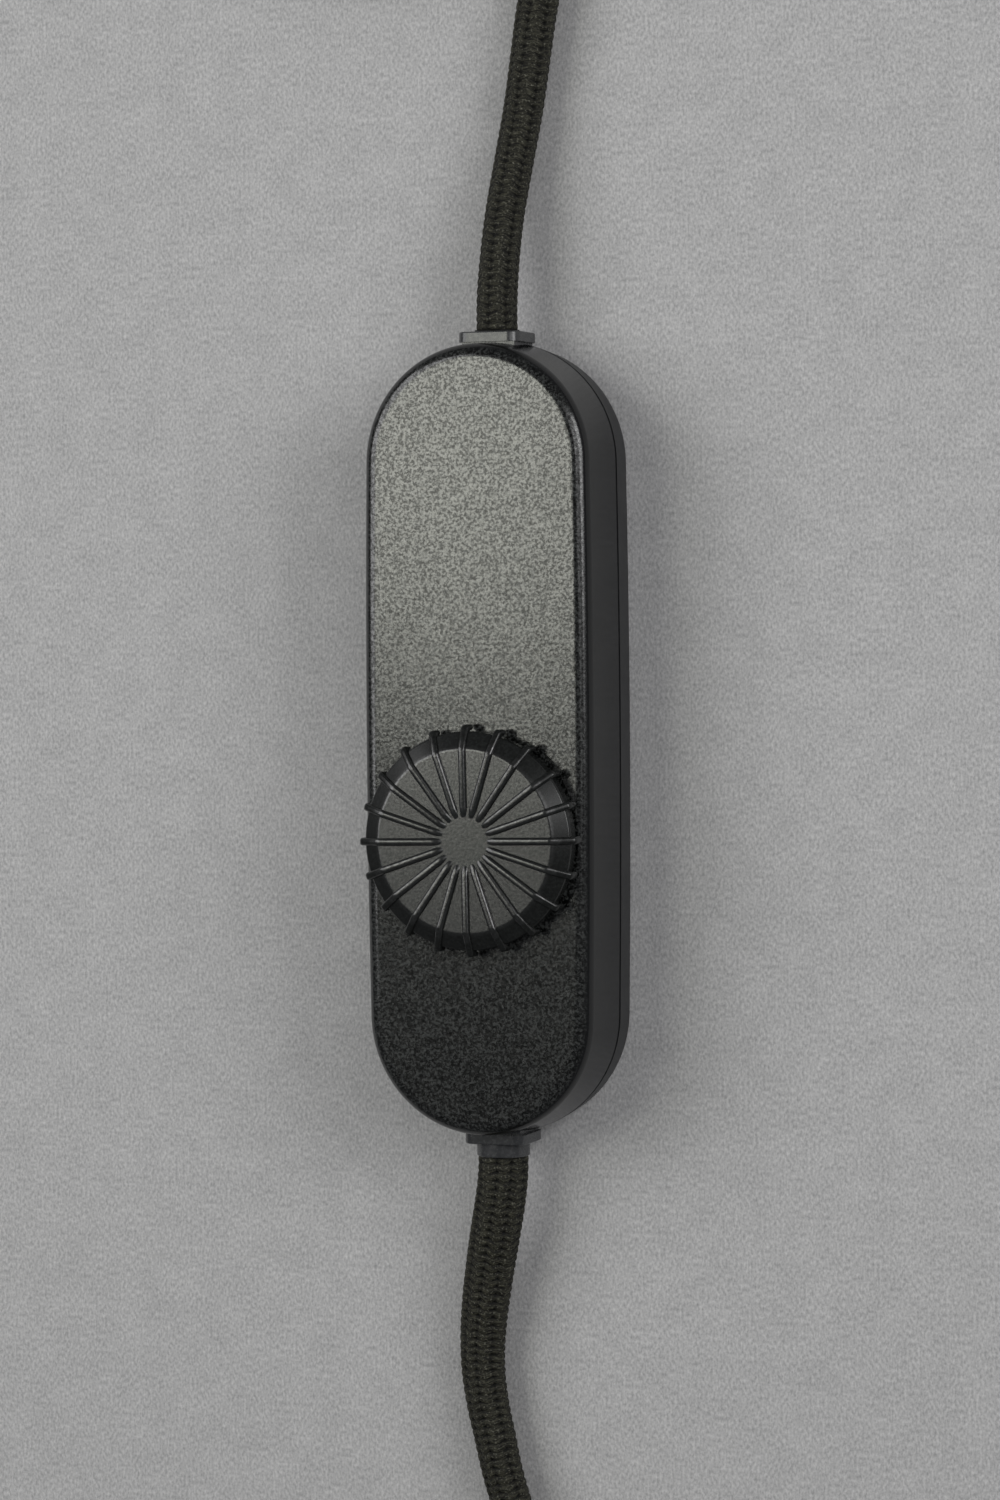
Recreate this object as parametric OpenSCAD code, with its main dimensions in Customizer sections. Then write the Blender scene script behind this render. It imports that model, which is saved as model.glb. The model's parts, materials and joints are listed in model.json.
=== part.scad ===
// In-line rotary dimmer for a braided lamp cord, in millimetres.
// X is the width, Y the length and Z the height; the housing lies on its flat underside at Z = 0.

/* [Housing] */
// Length over the round ends, at the parting line
housing_length = 118; // [116:0.5:130]
// Width at the parting line
housing_width = 36.8; // [36.4:0.2:40]
// Height from the underside to the top face
housing_height = 18.2; // [18.2:0.1:20]
// Height of the parting line between the covers
seam_height = 6.4; // [6:0.1:7]
// Wall of both covers
wall = 1.8; // [1.4:0.1:1.9]
// Slope of the side walls
draft_angle = 4; // [1:0.5:5]
// Rounding of the top edge
top_fillet = 2; // [1:0.1:2.5]
// Rounding of the bottom edge
bottom_fillet = 1; // [0.4:0.1:1.4]
// Height of the lip that keys the covers together
lip_height = 1.4; // [0.8:0.1:2]
// Thickness of the lip
lip_thickness = 0.8; // [0.6:0.05:0.9]

/* [Knob] */
// Place of the knob along the housing
knob_y = -14.4; // [-15.5:0.1:-13.5]
// Radius of the flat top
knob_disc_radius = 13.45; // [12:0.05:14.5]
// Radius of the rim below the bevel
knob_rim_radius = 16; // [15:0.1:16.6]
// Height of the flat top above the housing
knob_rise = 4.75; // [4.5:0.05:6]
// Height of the bevel
knob_bevel = 1.25; // [0.8:0.05:1.6]
// Gap between the skirt and the housing
knob_gap = 0.9; // [0.85:0.05:1.2]
// Thickness of the knob's top and skirt
knob_wall = 1.6; // [1.2:0.1:2]
// Number of ribs
rib_count = 20; // [12:1:24]
// Width of a rib
rib_width = 1.15; // [0.8:0.05:1.4]
// Height of a rib above the top
rib_height = 0.5; // [0.3:0.05:0.7]
// Reach of a rib past the rim
rib_reach = 0.9; // [0.5:0.05:1.2]
// Radius of the smooth disc at the centre
knob_eye_radius = 3.15; // [2.8:0.05:4]
// Turn of the first rib from the X axis
rib_phase = 1; // [0:0.5:8]
// Travel of the push switch
press_travel = 0.6; // [0.4:0.05:0.6]

/* [Cord] */
// Diameter of the braided cord
cord_diameter = 6.6; // [6.2:0.1:7]
// Height of the cord's axis where it leaves the housing
cord_height = 7.5; // [7.3:0.1:7.9]
// Diameter of an insulated core
core_diameter = 2.2; // [1.8:0.1:2.4]

/* [Cord bushes] */
// Width of the flange
flange_width = 9.6; // [9:0.1:10.5]
// Height of the flange
flange_height = 9.1; // [8.6:0.1:9.6]
// Thickness of the flange
flange_thickness = 1.2; // [1:0.1:1.6]
// Rounding of the flange's corners
flange_corner = 1.4; // [0.6:0.1:2]
// Width of the neck in the wall
neck_width = 8.2; // [7.8:0.1:8.6]
// Height of the neck in the wall
neck_height = 7.9; // [7.5:0.1:8.1]
// Diameter of the collar on the plug side
collar_diameter = 7.9; // [7.7:0.1:8.6]
// Length of the collar past the flange
collar_length = 1.7; // [1:0.1:3]

/* [Circuit board] */
// Thickness of the board
board_thickness = 1.6; // [1:0.1:1.6]
// Height of the board's underside
board_height = 3; // [2.6:0.1:3]
// Diameter of a component lead
lead_diameter = 0.7; // [0.5:0.05:0.8]

/* [Potentiometer and switch] */
// Side of the square case
pot_side = 16.5; // [15.5:0.1:16.8]
// Height of the case
pot_height = 4.6; // [4.5:0.1:4.7]
// Diameter of the shaft
shaft_diameter = 6; // [5.6:0.1:6.2]
// Depth of the flat on the shaft
shaft_flat = 1; // [0.6:0.1:1.4]
// Angle that the knob turns
turn_angle = 270; // [240:5:280]
// Height of the switch case
switch_height = 4.7; // [4.6:0.05:4.8]

/* [Components] */
// Outer radius of the choke core
choke_radius = 7; // [6.4:0.1:7.2]
// Inner radius of the choke core
choke_hole = 3.7; // [3.5:0.1:4]
// Height of the choke core
choke_height = 6; // [5:0.1:6.6]
// Turns of wire on the choke
choke_turns = 16; // [8:1:16]
// Diameter of the choke wire
choke_wire = 0.6; // [0.4:0.05:0.65]
// Diameter of the glass fuse
fuse_diameter = 5.2; // [5:0.1:5.2]
// Length of the glass fuse
fuse_length = 20; // [19:0.5:20]
// Height of a terminal block
terminal_height = 9.5; // [9:0.1:10]

/* [Fasteners] */
// Radius of the cover screws' shank
screw_radius = 1.45; // [1.2:0.05:1.5]
// Radius of the cover screws' head
screw_head_radius = 2.5; // [2.3:0.05:2.7]
// Radius of the screw bosses
boss_radius = 3.4; // [3.2:0.05:3.5]

/* [Hidden] */
$fn = 48;

// Clearances: running is for what moves, fit is for what is pushed together
running = 0.06;
fit = 0.05;

// Housing
half_length = housing_length / 2;
half_width = housing_width / 2;
end_y = half_length - half_width;
roof = housing_height - wall;
slope = tan(draft_angle);
arc_steps = 7;
inner_radius = half_width - wall;

// Radius of the housing's outside at a height, before its edges are rounded
function skin(z) = half_width - abs(z - seam_height) * slope;

// Points on an arc in a section, from one angle to another
function arc(cx, cz, r, a0, a1, n = arc_steps) =
    [for (i = [0 : n]) let (a = a0 + (a1 - a0) * i / n) [cx + r * cos(a), cz + r * sin(a)]];

// A rounded rectangle about the origin, as points
function rounded_points(w, h, r, n = 5) = concat(
    arc(w / 2 - r, h / 2 - r, r, 0, 90, n),
    arc(r - w / 2, h / 2 - r, r, 90, 180, n),
    arc(r - w / 2, r - h / 2, r, 180, 270, n),
    arc(w / 2 - r, r - h / 2, r, 270, 360, n));

// Screws through the corners of the board's bay
screw_x = inner_radius - boss_radius - 0.9;
screw_y = end_y - 2.4;
boss_split = seam_height + 1.6;
screw_seat = 2.4;
screw_length = 9.5;

// Circuit board
board_top = board_height + board_thickness;
board_half_width = inner_radius - 1;
board_half_length = screw_y - boss_radius - 0.5;
rest_half = 1.2;

// Switch under the potentiometer under the knob
switch_side = 12.5;
switch_floor = board_top + 0.6;
switch_bore = 4.2;
switch_top = board_top + switch_height;
plunger_radius = switch_bore - running;
plunger_thickness = 1;
shaft_bottom = switch_top - 0.6;
plunger_bottom = shaft_bottom - plunger_thickness;
spring_wire = 0.35;
spring_radius = 2.6;
spring_turns = 2.5;

shaft_radius = shaft_diameter / 2;
pot_floor = 0.7;
pot_cavity = 6.9;
pot_top = switch_top + pot_height;
plate_thickness = 1;
bushing_radius = 3.9;
bushing_top = pot_top + plate_thickness + 0.8;
track_top = switch_top + pot_floor + 0.2;
wiper_bottom = track_top + 0.05;
rotor_bottom = wiper_bottom + 0.2;
rotor_top = pot_top - 0.2;
rotor_radius = pot_cavity - 0.3;
rotor_hub_radius = 5.1;
rotor_disc_top = rotor_bottom + 1.4;
stop_angle = (360 - turn_angle) / 2 - 1;

// Knob
knob_top = housing_height + knob_rise;
knob_shoulder = knob_top - knob_bevel;
knob_bottom = housing_height + knob_gap;
hub_radius = 4.2;
hub_bottom = bushing_top + press_travel + 0.1;
hub_hole = hub_radius + 0.4;
shaft_top = knob_top - knob_wall;

// Cord, bushes and clamps
cord_radius = cord_diameter / 2;
bush_outer = half_length + 0.1;
bush_face = bush_outer + flange_thickness;
bush_inner = end_y + sqrt(pow(inner_radius - 0.5, 2) - pow(flange_width / 2, 2));
mouth_plug = bush_face + collar_length;
mouth_lamp = bush_face;
clamp_y = half_length - 9.3;
clamp_depth = 5.4;
clamp_half_width = 9.2;
clamp_screw_x = 6.8;
clamp_top = cord_height + cord_radius + 1.2;
clamp_screw_radius = 1.2;
clamp_head_radius = 2.1;
clamp_head = 1.5;
sheath_end = clamp_y - clamp_depth / 2 - 2.4;

// Terminal blocks
terminal_width = 16;
terminal_depth = 8;
terminal_pitch = 7.5;
terminal_y = board_half_length - terminal_depth / 2 - 0.3;
terminal_entry_z = board_top + 3.4;
terminal_entry_radius = 1.4;

// Component places on the board, all from the knob or the board's edge
triac_y = knob_y - 8.2;
triac_x = board_half_width - 6;
triac_z = board_top + 0.4;
triac_width = 10;
triac_body_length = 9.2;
triac_body_depth = 3.2;
tab_thickness = 1.3;
tab_length = 15.4;
sink_x = triac_x + triac_body_depth + tab_thickness;
sink_thickness = 1.2;
tab_hole_y = triac_y + triac_body_length + 3.2;
choke_x = -6.6;
choke_y = knob_y + pot_side / 2 + choke_radius + 2.6;
choke_z = board_top + choke_wire + 0.3;
choke_gap = choke_wire / 2 + 0.12;
choke_start = 120;
choke_spread = 300;
choke_lead_reach = choke_radius + 1.8;
film_size = [18, 6, 10.6];
film_place = [-14, terminal_y - terminal_depth / 2 - film_size[1] - 2.2, board_top + 0.1];
film_lead_reach = 7.5;
can_radius = 3.1;
can_length = 11;
can_place = [can_radius + 0.5 - board_half_width, knob_y - 6, board_top + can_radius + 0.1];
fuse_x = board_half_width - 4.6;
fuse_y = knob_y + pot_side / 2 + fuse_length / 2 + 5.6;
fuse_z = board_top + 4.4;
cap_length = 4.6;
clip_wall = 0.5;

// Axial components: [x, y of the middle, body length, body radius]
axial_z = board_top + 1.5;
resistor_places = [
    [choke_x + choke_radius + 2.6, choke_y - 4, 6.4, 1.15],
    [choke_x + choke_radius + 5.8, choke_y - 4, 6.4, 1.15],
    [choke_x + choke_radius + 2.6, choke_y + 6, 6.4, 1.15]
];
diac_places = [[choke_x + choke_radius + 5.8, choke_y + 6, 4, 0.95]];
axial_span = 9;
lead_radius = lead_diameter / 2;

// Places where a lead passes the board
lead_places = concat(
    [for (p = concat(resistor_places, diac_places), s = [-1, 1]) [p[0], p[1] + s * axial_span / 2]],
    [for (s = [-1, 1])
        [film_place[0] + film_size[0] / 2 + s * film_lead_reach, film_place[1] + film_size[1] / 2]],
    [for (a = [choke_start, choke_start + choke_spread])
        [choke_x + choke_lead_reach * cos(a), choke_y + choke_lead_reach * sin(a)]],
    [for (s = [-1, 1]) [can_place[0] + s * 1.25, can_place[1] + can_length + 1.6]],
    [for (s = [-1, 0, 1]) [triac_x + 1.6, triac_y - 1.5 + s * 0.01 - abs(s) * 1.8]]
);

// Route of the free cord on the plug side, from the collar to the hank
route_plug = [
    [0, -mouth_plug, cord_height], [-0.1, -mouth_plug - 3, cord_height], [-0.7, -69, 7.2], [-1.8, -74, 6.5],
    [-3.1, -79.5, 5.4], [-4.2, -85, 4.5], [-4.9, -90, 3.8], [-5, -95, 3.5], [-4.3, -100.5, 3.4],
    [-3.3, -105, 3.4],
    [-2.2, -110, 3.4], [-0.2, -116.5, 3.4], [2.3, -123, 3.4], [5.1, -129, 3.4], [8.1, -135, 3.4],
    [11, -141, 3.4], [13.4, -147.5, 3.4], [14.8, -154, 3.4], [15.2, -160, 3.4], [15.2, -166, 3.4]
];

// Route of the free cord on the lamp side, from the flange to the hank
route_lamp = [
    [0, mouth_lamp, cord_height], [0, mouth_lamp + 3.5, cord_height], [0.2, 70.5, 6.8], [0.6, 77, 5.7],
    [1.6, 85, 4.3], [2.9, 93, 3.5], [4.1, 101, 3.4], [5.2, 108, 3.4], [6.7, 114.5, 3.4], [8.8, 121, 3.4],
    [11.2, 127.5, 3.4], [13.4, 134, 3.4], [14.9, 140.5, 3.4], [15.2, 146, 3.4], [15.2, 151, 3.4]
];

// Hanks: their middle, the radius of their folds, and the step from layer to layer
hank_x = -4.6;
hank_fold = 19.8;
hank_step = 7.1;
hank_z = 3.4;
hank_lift = 0.5;
hank_waist = 4.2;
hank_grip = 6;
hank_run_x = hank_x + hank_fold;
tie_width = 9;
tie_thickness = 0.4;

// Each hank, as distances along Y: where the cord reaches it, the middles of its near and far folds,
// its loops, the place of its tie and how far from there its runs are drawn in
plug_hank = [-route_plug[len(route_plug) - 1][1], 142.8, 267.2, 3, 216, 40];
lamp_hank = [route_lamp[len(route_lamp) - 1][1], 138, 238, 1, 193, 32];

// A smooth step from 0 to 1
function ease(t) = let (u = min(max(t, 0), 1)) u * u * (3 - 2 * u);

// How far a run of a hank is drawn in at a place, from 0 to 1; near the tie it lies straight
function drawn(hank, u) = ease((hank[5] - abs(u - hank[4])) / (hank[5] - hank_grip));

// A point on a run; side is 1 or -1 and level is counted in layers
function run_point(hank, side, u, level) = [
    hank_x + side * (hank_fold - hank_waist * drawn(hank, u)), u,
    hank_z + hank_step * level + hank_lift * drawn(hank, u)];

// A point on a fold about a middle, at an angle from the X axis
function fold_point(middle, a, level) =
    [hank_x + hank_fold * cos(a), middle + hank_fold * sin(a), hank_z + hank_step * level];

// Places along a run where it starts to draw in, lies straight, and is out again
function run_places(hank) =
    [hank[4] - hank[5], hank[4] - hank_grip, hank[4] + hank_grip, hank[4] + hank[5]];

// One loop: out on one run, round the far fold, back up the other run and round the near fold.
// The way back climbs a layer between the tie and the near fold.
function loop_points(hank, start, level) = let (
    near = hank[1],
    foot = hank[4] - hank_grip,
    places = run_places(hank)) concat(
    [for (u = concat([start], places)) run_point(hank, 1, u, level)],
    [for (i = [0 : 6]) fold_point(hank[2], 30 * i, level)],
    [for (i = [3, 2]) run_point(hank, -1, places[i], level)],
    [for (i = [0 : 3]) run_point(hank, -1, foot + (near - foot) * i / 4, level + ease(i / 4))],
    [for (i = [0 : 5]) fold_point(near, 180 + 30 * i, level + 1)]);

// All loops of a hank, after a straight stretch where the cord reaches it
function loop_start(hank, k) = k == 0 ? hank[0] + cord_diameter : hank[1];
function hank_points(hank) = concat(
    [[hank_run_x, hank[0], hank_z]],
    [for (k = [0 : hank[3] - 1], p = loop_points(hank, loop_start(hank, k), k)) p],
    [[hank_run_x, hank[1], hank_z + hank_step * hank[3]]]);

// The plug side's last stretch crosses to the middle, above the runs
plug_axis_z = 28.4;
plug_lead_start = plug_hank[1] + cord_diameter;
plug_lead_length = 52;
plug_lead_end = plug_lead_start + plug_lead_length;
plug_top_z = hank_z + hank_step * plug_hank[3];
plug_hank_line = concat(
    hank_points(plug_hank),
    [for (i = [0 : 10]) let (t = i / 10)
        [hank_x + hank_fold * (1 + cos(180 * t)) / 2, plug_lead_start + plug_lead_length * t,
        plug_top_z + (plug_axis_z - plug_top_z) * ease(t)]],
    [[hank_x, plug_lead_end + cord_diameter, plug_axis_z]]);

// The lamp side ends on top of the run that it came in on
lamp_end_u = lamp_hank[4] + hank_grip + cord_diameter;
lamp_end = run_point(lamp_hank, 1, lamp_hank[4] + hank_grip, lamp_hank[3]);
lamp_end_x = lamp_end[0];
lamp_end_z = lamp_end[2];
lamp_hank_line = concat(
    hank_points(lamp_hank),
    [for (i = [0 : 2]) run_point(lamp_hank, 1, run_places(lamp_hank)[i], lamp_hank[3])],
    [[lamp_end_x, lamp_end_u, lamp_end_z]]);

// Plug, two-pole and flat, with its pins away from the housing
plug_relief_start = plug_lead_end + cord_diameter;
plug_relief_length = 28;
plug_body_length = 36;
plug_width = 35;
plug_thickness = 13.7;
plug_body_start = plug_relief_start + plug_relief_length;
plug_body_end = plug_body_start + plug_body_length;
pin_radius = 2;
pin_length = 19;
pin_taper = 1.5;
pin_sleeve = 10;
pin_sleeve_wall = 0.3;
pin_spacing = 18.6;

// Lamp end
end_sleeve_length = 12;
end_core_length = 24;
ferrule_length = 8;

// Sweeping: a tube of n sides along points, with a reference direction for each ring.
// Square ends face along Y, to meet what lies there face to face.
function unit(v) = v / norm(v);
function heading(p, i, square) = let (h = unit(p[min(i + 1, len(p) - 1)] - p[max(i - 1, 0)]))
    square && (i == 0 || i == len(p) - 1) ? [0, sign(h[1]), 0] : h;
function ring_points(p, i, r, n, up, square) =
    let (t = heading(p, i, square), side = unit(cross(t, up)), top = cross(side, t))
    [for (k = [0 : n - 1]) let (a = 360 * (k + 0.5) / n) p[i] + r * (cos(a) * side + sin(a) * top)];

module tube(p, r, n, ups, square = true) {
    count = len(p);
    points = [for (i = [0 : count - 1], q = ring_points(p, i, r, n, ups[i], square)) q];
    sides = [for (i = [0 : count - 2], k = [0 : n - 1], h = [0, 1])
        let (a = i * n + k, b = i * n + (k + 1) % n)
        h == 0 ? [a, b, a + n] : [b, b + n, a + n]];
    caps = [for (k = [1 : n - 2], h = [0, 1]) let (e = (count - 1) * n)
        h == 0 ? [0, k + 1, k] : [e, e + k, e + k + 1]];
    polyhedron(points, concat(sides, caps));
}

// All rings of a tube that lies about flat take the same reference
function level_ups(p) = [for (q = p) [0, 0, 1]];

// Least gap of a tube to itself, between rings more than skip apart along it
function self_gap(p, r, skip) =
    min([for (i = [0 : len(p) - 2], j = [i + skip : 1 : len(p) - 1]) norm(p[i] - p[j])]) - 2 * r;

// A solid with the housing's outline: a section turned round both ends and drawn out between them.
// The section starts and ends on the axis.
module stadium(section) {
    for (turn = [0, 180])
        rotate([0, 0, turn]) translate([0, end_y, 0]) rotate_extrude(angle = 180) polygon(section);
    back = [for (i = [len(section) - 1 : -1 : 0]) [-section[i][0], section[i][1]]];
    translate([0, end_y, 0]) rotate([90, 0, 0]) linear_extrude(2 * end_y) polygon(concat(section, back));
}

// A block between two heights about the end of the housing
module at_ends() {
    for (turn = [0, 180]) rotate([0, 0, turn]) children();
}

module at_screws() {
    for (x = [-screw_x, screw_x], y = [-screw_y, screw_y]) translate([x, y, 0]) children();
}

module block(x0, x1, y0, y1, z0, z1) {
    translate([x0, y0, z0]) cube([x1 - x0, y1 - y0, z1 - z0]);
}

module top_cover() {
    edge = skin(housing_height - top_fillet);
    rebate = inner_radius + lip_thickness + fit * 2;
    rebate_top = seam_height + lip_height + fit * 2;
    color("#26272a") {
        difference() {
            stadium(concat(
                [[0, roof], [skin(roof) - wall, roof], [skin(rebate_top) - wall, rebate_top],
                [rebate, rebate_top], [rebate, seam_height], [half_width, seam_height]],
                arc(edge - top_fillet, housing_height - top_fillet, top_fillet, 0, 90),
                [[0, housing_height]]));
            translate([0, knob_y, roof - 1]) cylinder(r = hub_hole, h = wall + 2);
            at_ends() block(-neck_width / 2 - fit, neck_width / 2 + fit, end_y, half_length + 1,
                seam_height - 1, cord_height + neck_height / 2 + fit);
        }
        at_screws() difference() {
            translate([0, 0, boss_split]) cylinder(r = boss_radius, h = roof - boss_split + 0.5);
            translate([0, 0, boss_split - 1])
                cylinder(r = screw_radius + fit, h = screw_length - boss_split + 2);
        }
    }
}

module bottom_cover() {
    edge = skin(bottom_fillet);
    color("#303134") {
        difference() {
            stadium(concat(
                [[0, 0]], arc(edge - bottom_fillet, bottom_fillet, bottom_fillet, -90, 0),
                [[half_width, seam_height], [inner_radius + lip_thickness, seam_height],
                [inner_radius + lip_thickness, seam_height + lip_height],
                [inner_radius, seam_height + lip_height], [skin(wall) - wall, wall], [0, wall]]));
            at_ends() block(-neck_width / 2 - fit, neck_width / 2 + fit, end_y, half_length + 1,
                cord_height - neck_height / 2 - fit, seam_height + lip_height + 1);
            at_screws() {
                translate([0, 0, -1]) cylinder(r = screw_head_radius + 0.2, h = screw_seat + 1);
                cylinder(r = screw_radius + fit, h = screw_seat + 2);
            }
        }
        at_screws() difference() {
            translate([0, 0, wall - 0.5]) cylinder(r = boss_radius, h = boss_split - wall + 0.5);
            translate([0, 0, wall - 1]) cylinder(r = screw_head_radius + 0.2, h = screw_seat - wall + 1);
            cylinder(r = screw_radius + fit, h = boss_split + 1);
        }
        at_ends() difference() {
            block(-clamp_half_width, clamp_half_width, clamp_y - clamp_depth / 2, clamp_y + clamp_depth / 2,
                wall - 0.5, cord_height);
            translate([0, clamp_y + clamp_depth, cord_height]) rotate([90, 0, 0])
                cylinder(r = cord_radius + fit, h = 2 * clamp_depth);
            for (x = [-clamp_screw_x, clamp_screw_x]) translate([x, clamp_y, wall])
                cylinder(r = clamp_screw_radius + fit, h = cord_height);
        }
        for (x = [-1, 1] * (board_half_width - 2), y = [-1, 0, 1] * (board_half_length - 3))
            block(x - rest_half, x + rest_half, y - rest_half, y + rest_half, wall - 0.5, board_height);
    }
}

module cover_screws() {
    color("#b9bcc0") at_screws() {
        difference() {
            translate([0, 0, 0.3]) cylinder(r = screw_head_radius, h = screw_seat - 0.3);
            for (a = [0, 90]) rotate([0, 0, a]) block(-1.6, 1.6, -0.35, 0.35, 0, 1.3);
        }
        translate([0, 0, screw_seat - 0.1]) cylinder(r = screw_radius, h = screw_length - screw_seat + 0.1);
    }
}

// The knob's skirt, bevel, flat top and hub, as a section from the axis out
function knob_section() = [
    [0, shaft_top], [hub_radius, shaft_top], [hub_radius, knob_top - knob_wall],
    [knob_rim_radius - knob_wall, knob_shoulder - knob_wall + knob_bevel / 2],
    [knob_rim_radius - knob_wall, knob_bottom], [knob_rim_radius - 0.2, knob_bottom],
    [knob_rim_radius, knob_shoulder], [knob_disc_radius, knob_top], [0, knob_top]];

module rib() {
    tip = knob_rim_radius + rib_reach;
    crest = knob_top + rib_height;
    rotate([90, 0, 0]) translate([0, 0, -rib_width / 2]) linear_extrude(rib_width) polygon([
        [knob_eye_radius, knob_top - 0.3], [knob_eye_radius, knob_top], [knob_eye_radius + 1.4, crest],
        [knob_disc_radius + 0.1, crest], [tip - 0.6, knob_shoulder + rib_height + 0.1],
        [tip - 0.15, knob_shoulder + 0.15], [tip, knob_shoulder - 0.4], [tip - 0.1, knob_bottom + 0.2],
        [knob_rim_radius - 0.5, knob_bottom + 0.2], [knob_rim_radius - 0.6, knob_shoulder - 0.2],
        [knob_disc_radius - 0.4, knob_top - 0.3]]);
}

// A shaft's outline: round with one flat, grown by a clearance
module flatted(gap) {
    difference() {
        circle(r = shaft_radius + gap);
        translate([shaft_radius - shaft_flat + gap, -shaft_radius - 1])
            square([shaft_flat + 1, 2 * shaft_radius + 2]);
    }
}

module knob() {
    color("#232427") translate([0, knob_y, 0]) {
        rotate_extrude($fn = 96) polygon(knob_section());
        for (i = [0 : rib_count - 1]) rotate([0, 0, rib_phase + i * 360 / rib_count]) rib();
        difference() {
            translate([0, 0, hub_bottom]) cylinder(r = hub_radius, h = shaft_top - hub_bottom + 0.4);
            translate([0, 0, hub_bottom - 1]) linear_extrude(shaft_top - hub_bottom + 1) flatted(fit);
        }
    }
}

module knob_shaft() {
    color("#c9b98e") translate([0, knob_y, shaft_bottom]) linear_extrude(shaft_top - shaft_bottom) flatted(0);
}

// A bush sits in the end wall at positive Y; collar is its length past the flange
module cord_bush(collar) {
    difference() {
        union() {
            translate([0, bush_face, cord_height]) rotate([90, 0, 0])
                linear_extrude(flange_thickness)
                polygon(rounded_points(flange_width, flange_height, flange_corner));
            block(-neck_width / 2, neck_width / 2, bush_inner - 1, bush_outer + 0.5,
                cord_height - neck_height / 2, cord_height + neck_height / 2);
            translate([0, bush_inner, cord_height]) rotate([90, 0, 0])
                linear_extrude(1.5) polygon(rounded_points(flange_width, flange_height, flange_corner));
            if (collar > 0)
                translate([0, bush_face + collar, cord_height]) rotate([90, 0, 0])
                    cylinder(r = collar_diameter / 2, h = collar + 0.5);
        }
        translate([0, bush_face + collar + 1, cord_height]) rotate([90, 0, 0])
            cylinder(r = cord_radius + fit, h = half_length);
    }
}

module cord_bush_plug_side() {
    color("#4a4b4d") rotate([0, 0, 180]) cord_bush(collar_length);
}

module cord_bush_lamp_side() {
    color("#4a4b4d") cord_bush(0);
}

module clamp_bar() {
    difference() {
        block(-clamp_half_width, clamp_half_width, clamp_y - clamp_depth / 2, clamp_y + clamp_depth / 2,
            cord_height, clamp_top);
        translate([0, clamp_y + clamp_depth, cord_height]) rotate([90, 0, 0])
            cylinder(r = cord_radius + fit, h = 2 * clamp_depth);
        for (x = [-clamp_screw_x, clamp_screw_x]) translate([x, clamp_y, cord_height - 1])
            cylinder(r = clamp_screw_radius + fit, h = clamp_top);
    }
}

module clamp_bar_plug_side() {
    color("#e4e0d4") rotate([0, 0, 180]) clamp_bar();
}

module clamp_bar_lamp_side() {
    color("#e4e0d4") clamp_bar();
}

module clamp_screws() {
    color("#c3c5c8") at_ends() for (x = [-clamp_screw_x, clamp_screw_x]) translate([x, clamp_y, 0]) {
        translate([0, 0, wall + 1]) cylinder(r = clamp_screw_radius, h = clamp_top - wall);
        difference() {
            translate([0, 0, clamp_top]) cylinder(r = clamp_head_radius, h = clamp_head);
            block(-2.5, 2.5, -0.3, 0.3, clamp_top + 0.8, clamp_top + clamp_head + 1);
        }
    }
}

module circuit_board() {
    color("#2f6a3c") difference() {
        block(-board_half_width, board_half_width, -board_half_length, board_half_length,
            board_height, board_top);
        for (p = lead_places) translate([p[0], p[1], board_height - 1])
            cylinder(r = lead_radius + fit, h = board_thickness + 2, $fn = 16);
    }
}

// A lead from under the board up to a height
module riser(x, y, top) {
    translate([x, y, board_height - 0.6]) cylinder(r = lead_radius, h = top - board_height + 0.6, $fn = 16);
}

module board_leads() {
    color("#c8cacd") {
        for (p = concat(resistor_places, diac_places), s = [-1, 1]) {
            riser(p[0], p[1] + s * axial_span / 2, axial_z + lead_radius);
            translate([p[0], p[1] + s * p[2] / 2, axial_z]) rotate([-90 * s, 0, 0])
                cylinder(r = lead_radius * 0.9, h = axial_span / 2 - p[2] / 2, $fn = 16);
        }
        for (s = [-1, 1]) {
            riser(film_place[0] + film_size[0] / 2 + s * film_lead_reach, film_place[1] + film_size[1] / 2,
                film_place[2]);
            riser(can_place[0] + s * 1.25, can_place[1] + can_length + 1.6, can_place[2] + lead_radius);
            translate([can_place[0] + s * 1.25, can_place[1] + can_length, can_place[2]]) rotate([-90, 0, 0])
                cylinder(r = lead_radius * 0.9, h = 1.6, $fn = 16);
        }
        for (a = [choke_start, choke_start + choke_spread])
            riser(choke_x + choke_lead_reach * cos(a), choke_y + choke_lead_reach * sin(a),
                choke_z - choke_gap - choke_wire / 2 - 0.02);
    }
}

module potentiometer_case() {
    color("#4e3b2a") translate([0, knob_y, 0]) {
        difference() {
            block(-pot_side / 2, pot_side / 2, -pot_side / 2, pot_side / 2, switch_top, pot_top);
            translate([0, 0, switch_top + pot_floor]) cylinder(r = pot_cavity, h = pot_height);
            translate([0, 0, switch_top - 1]) cylinder(r = shaft_radius + 0.3, h = pot_height);
        }
        translate([0, 0, rotor_disc_top + 0.2]) rotate([0, 0, stop_angle + 1])
            rotate_extrude(angle = stop_angle)
            translate([rotor_hub_radius + 0.3, 0])
            square([pot_cavity - rotor_hub_radius + 0.2, pot_top - rotor_disc_top - 0.2]);
    }
}

module potentiometer_bushing() {
    color("#b7b9bc") translate([0, knob_y, 0]) difference() {
        union() {
            translate([-pot_side / 2, -pot_side / 2, pot_top]) cube([pot_side, pot_side, plate_thickness]);
            translate([0, 0, pot_top + 0.5]) cylinder(r = bushing_radius, h = bushing_top - pot_top - 0.5);
        }
        translate([0, 0, pot_top - 1]) cylinder(r = shaft_radius + running, h = pot_height);
    }
}

module potentiometer_track() {
    color("#1b1b1b") translate([0, knob_y, track_top - 0.2]) rotate([0, 0, -turn_angle - 25])
        rotate_extrude(angle = turn_angle + 50) translate([rotor_hub_radius - 0.8, 0]) square([2, 0.2]);
}

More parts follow.
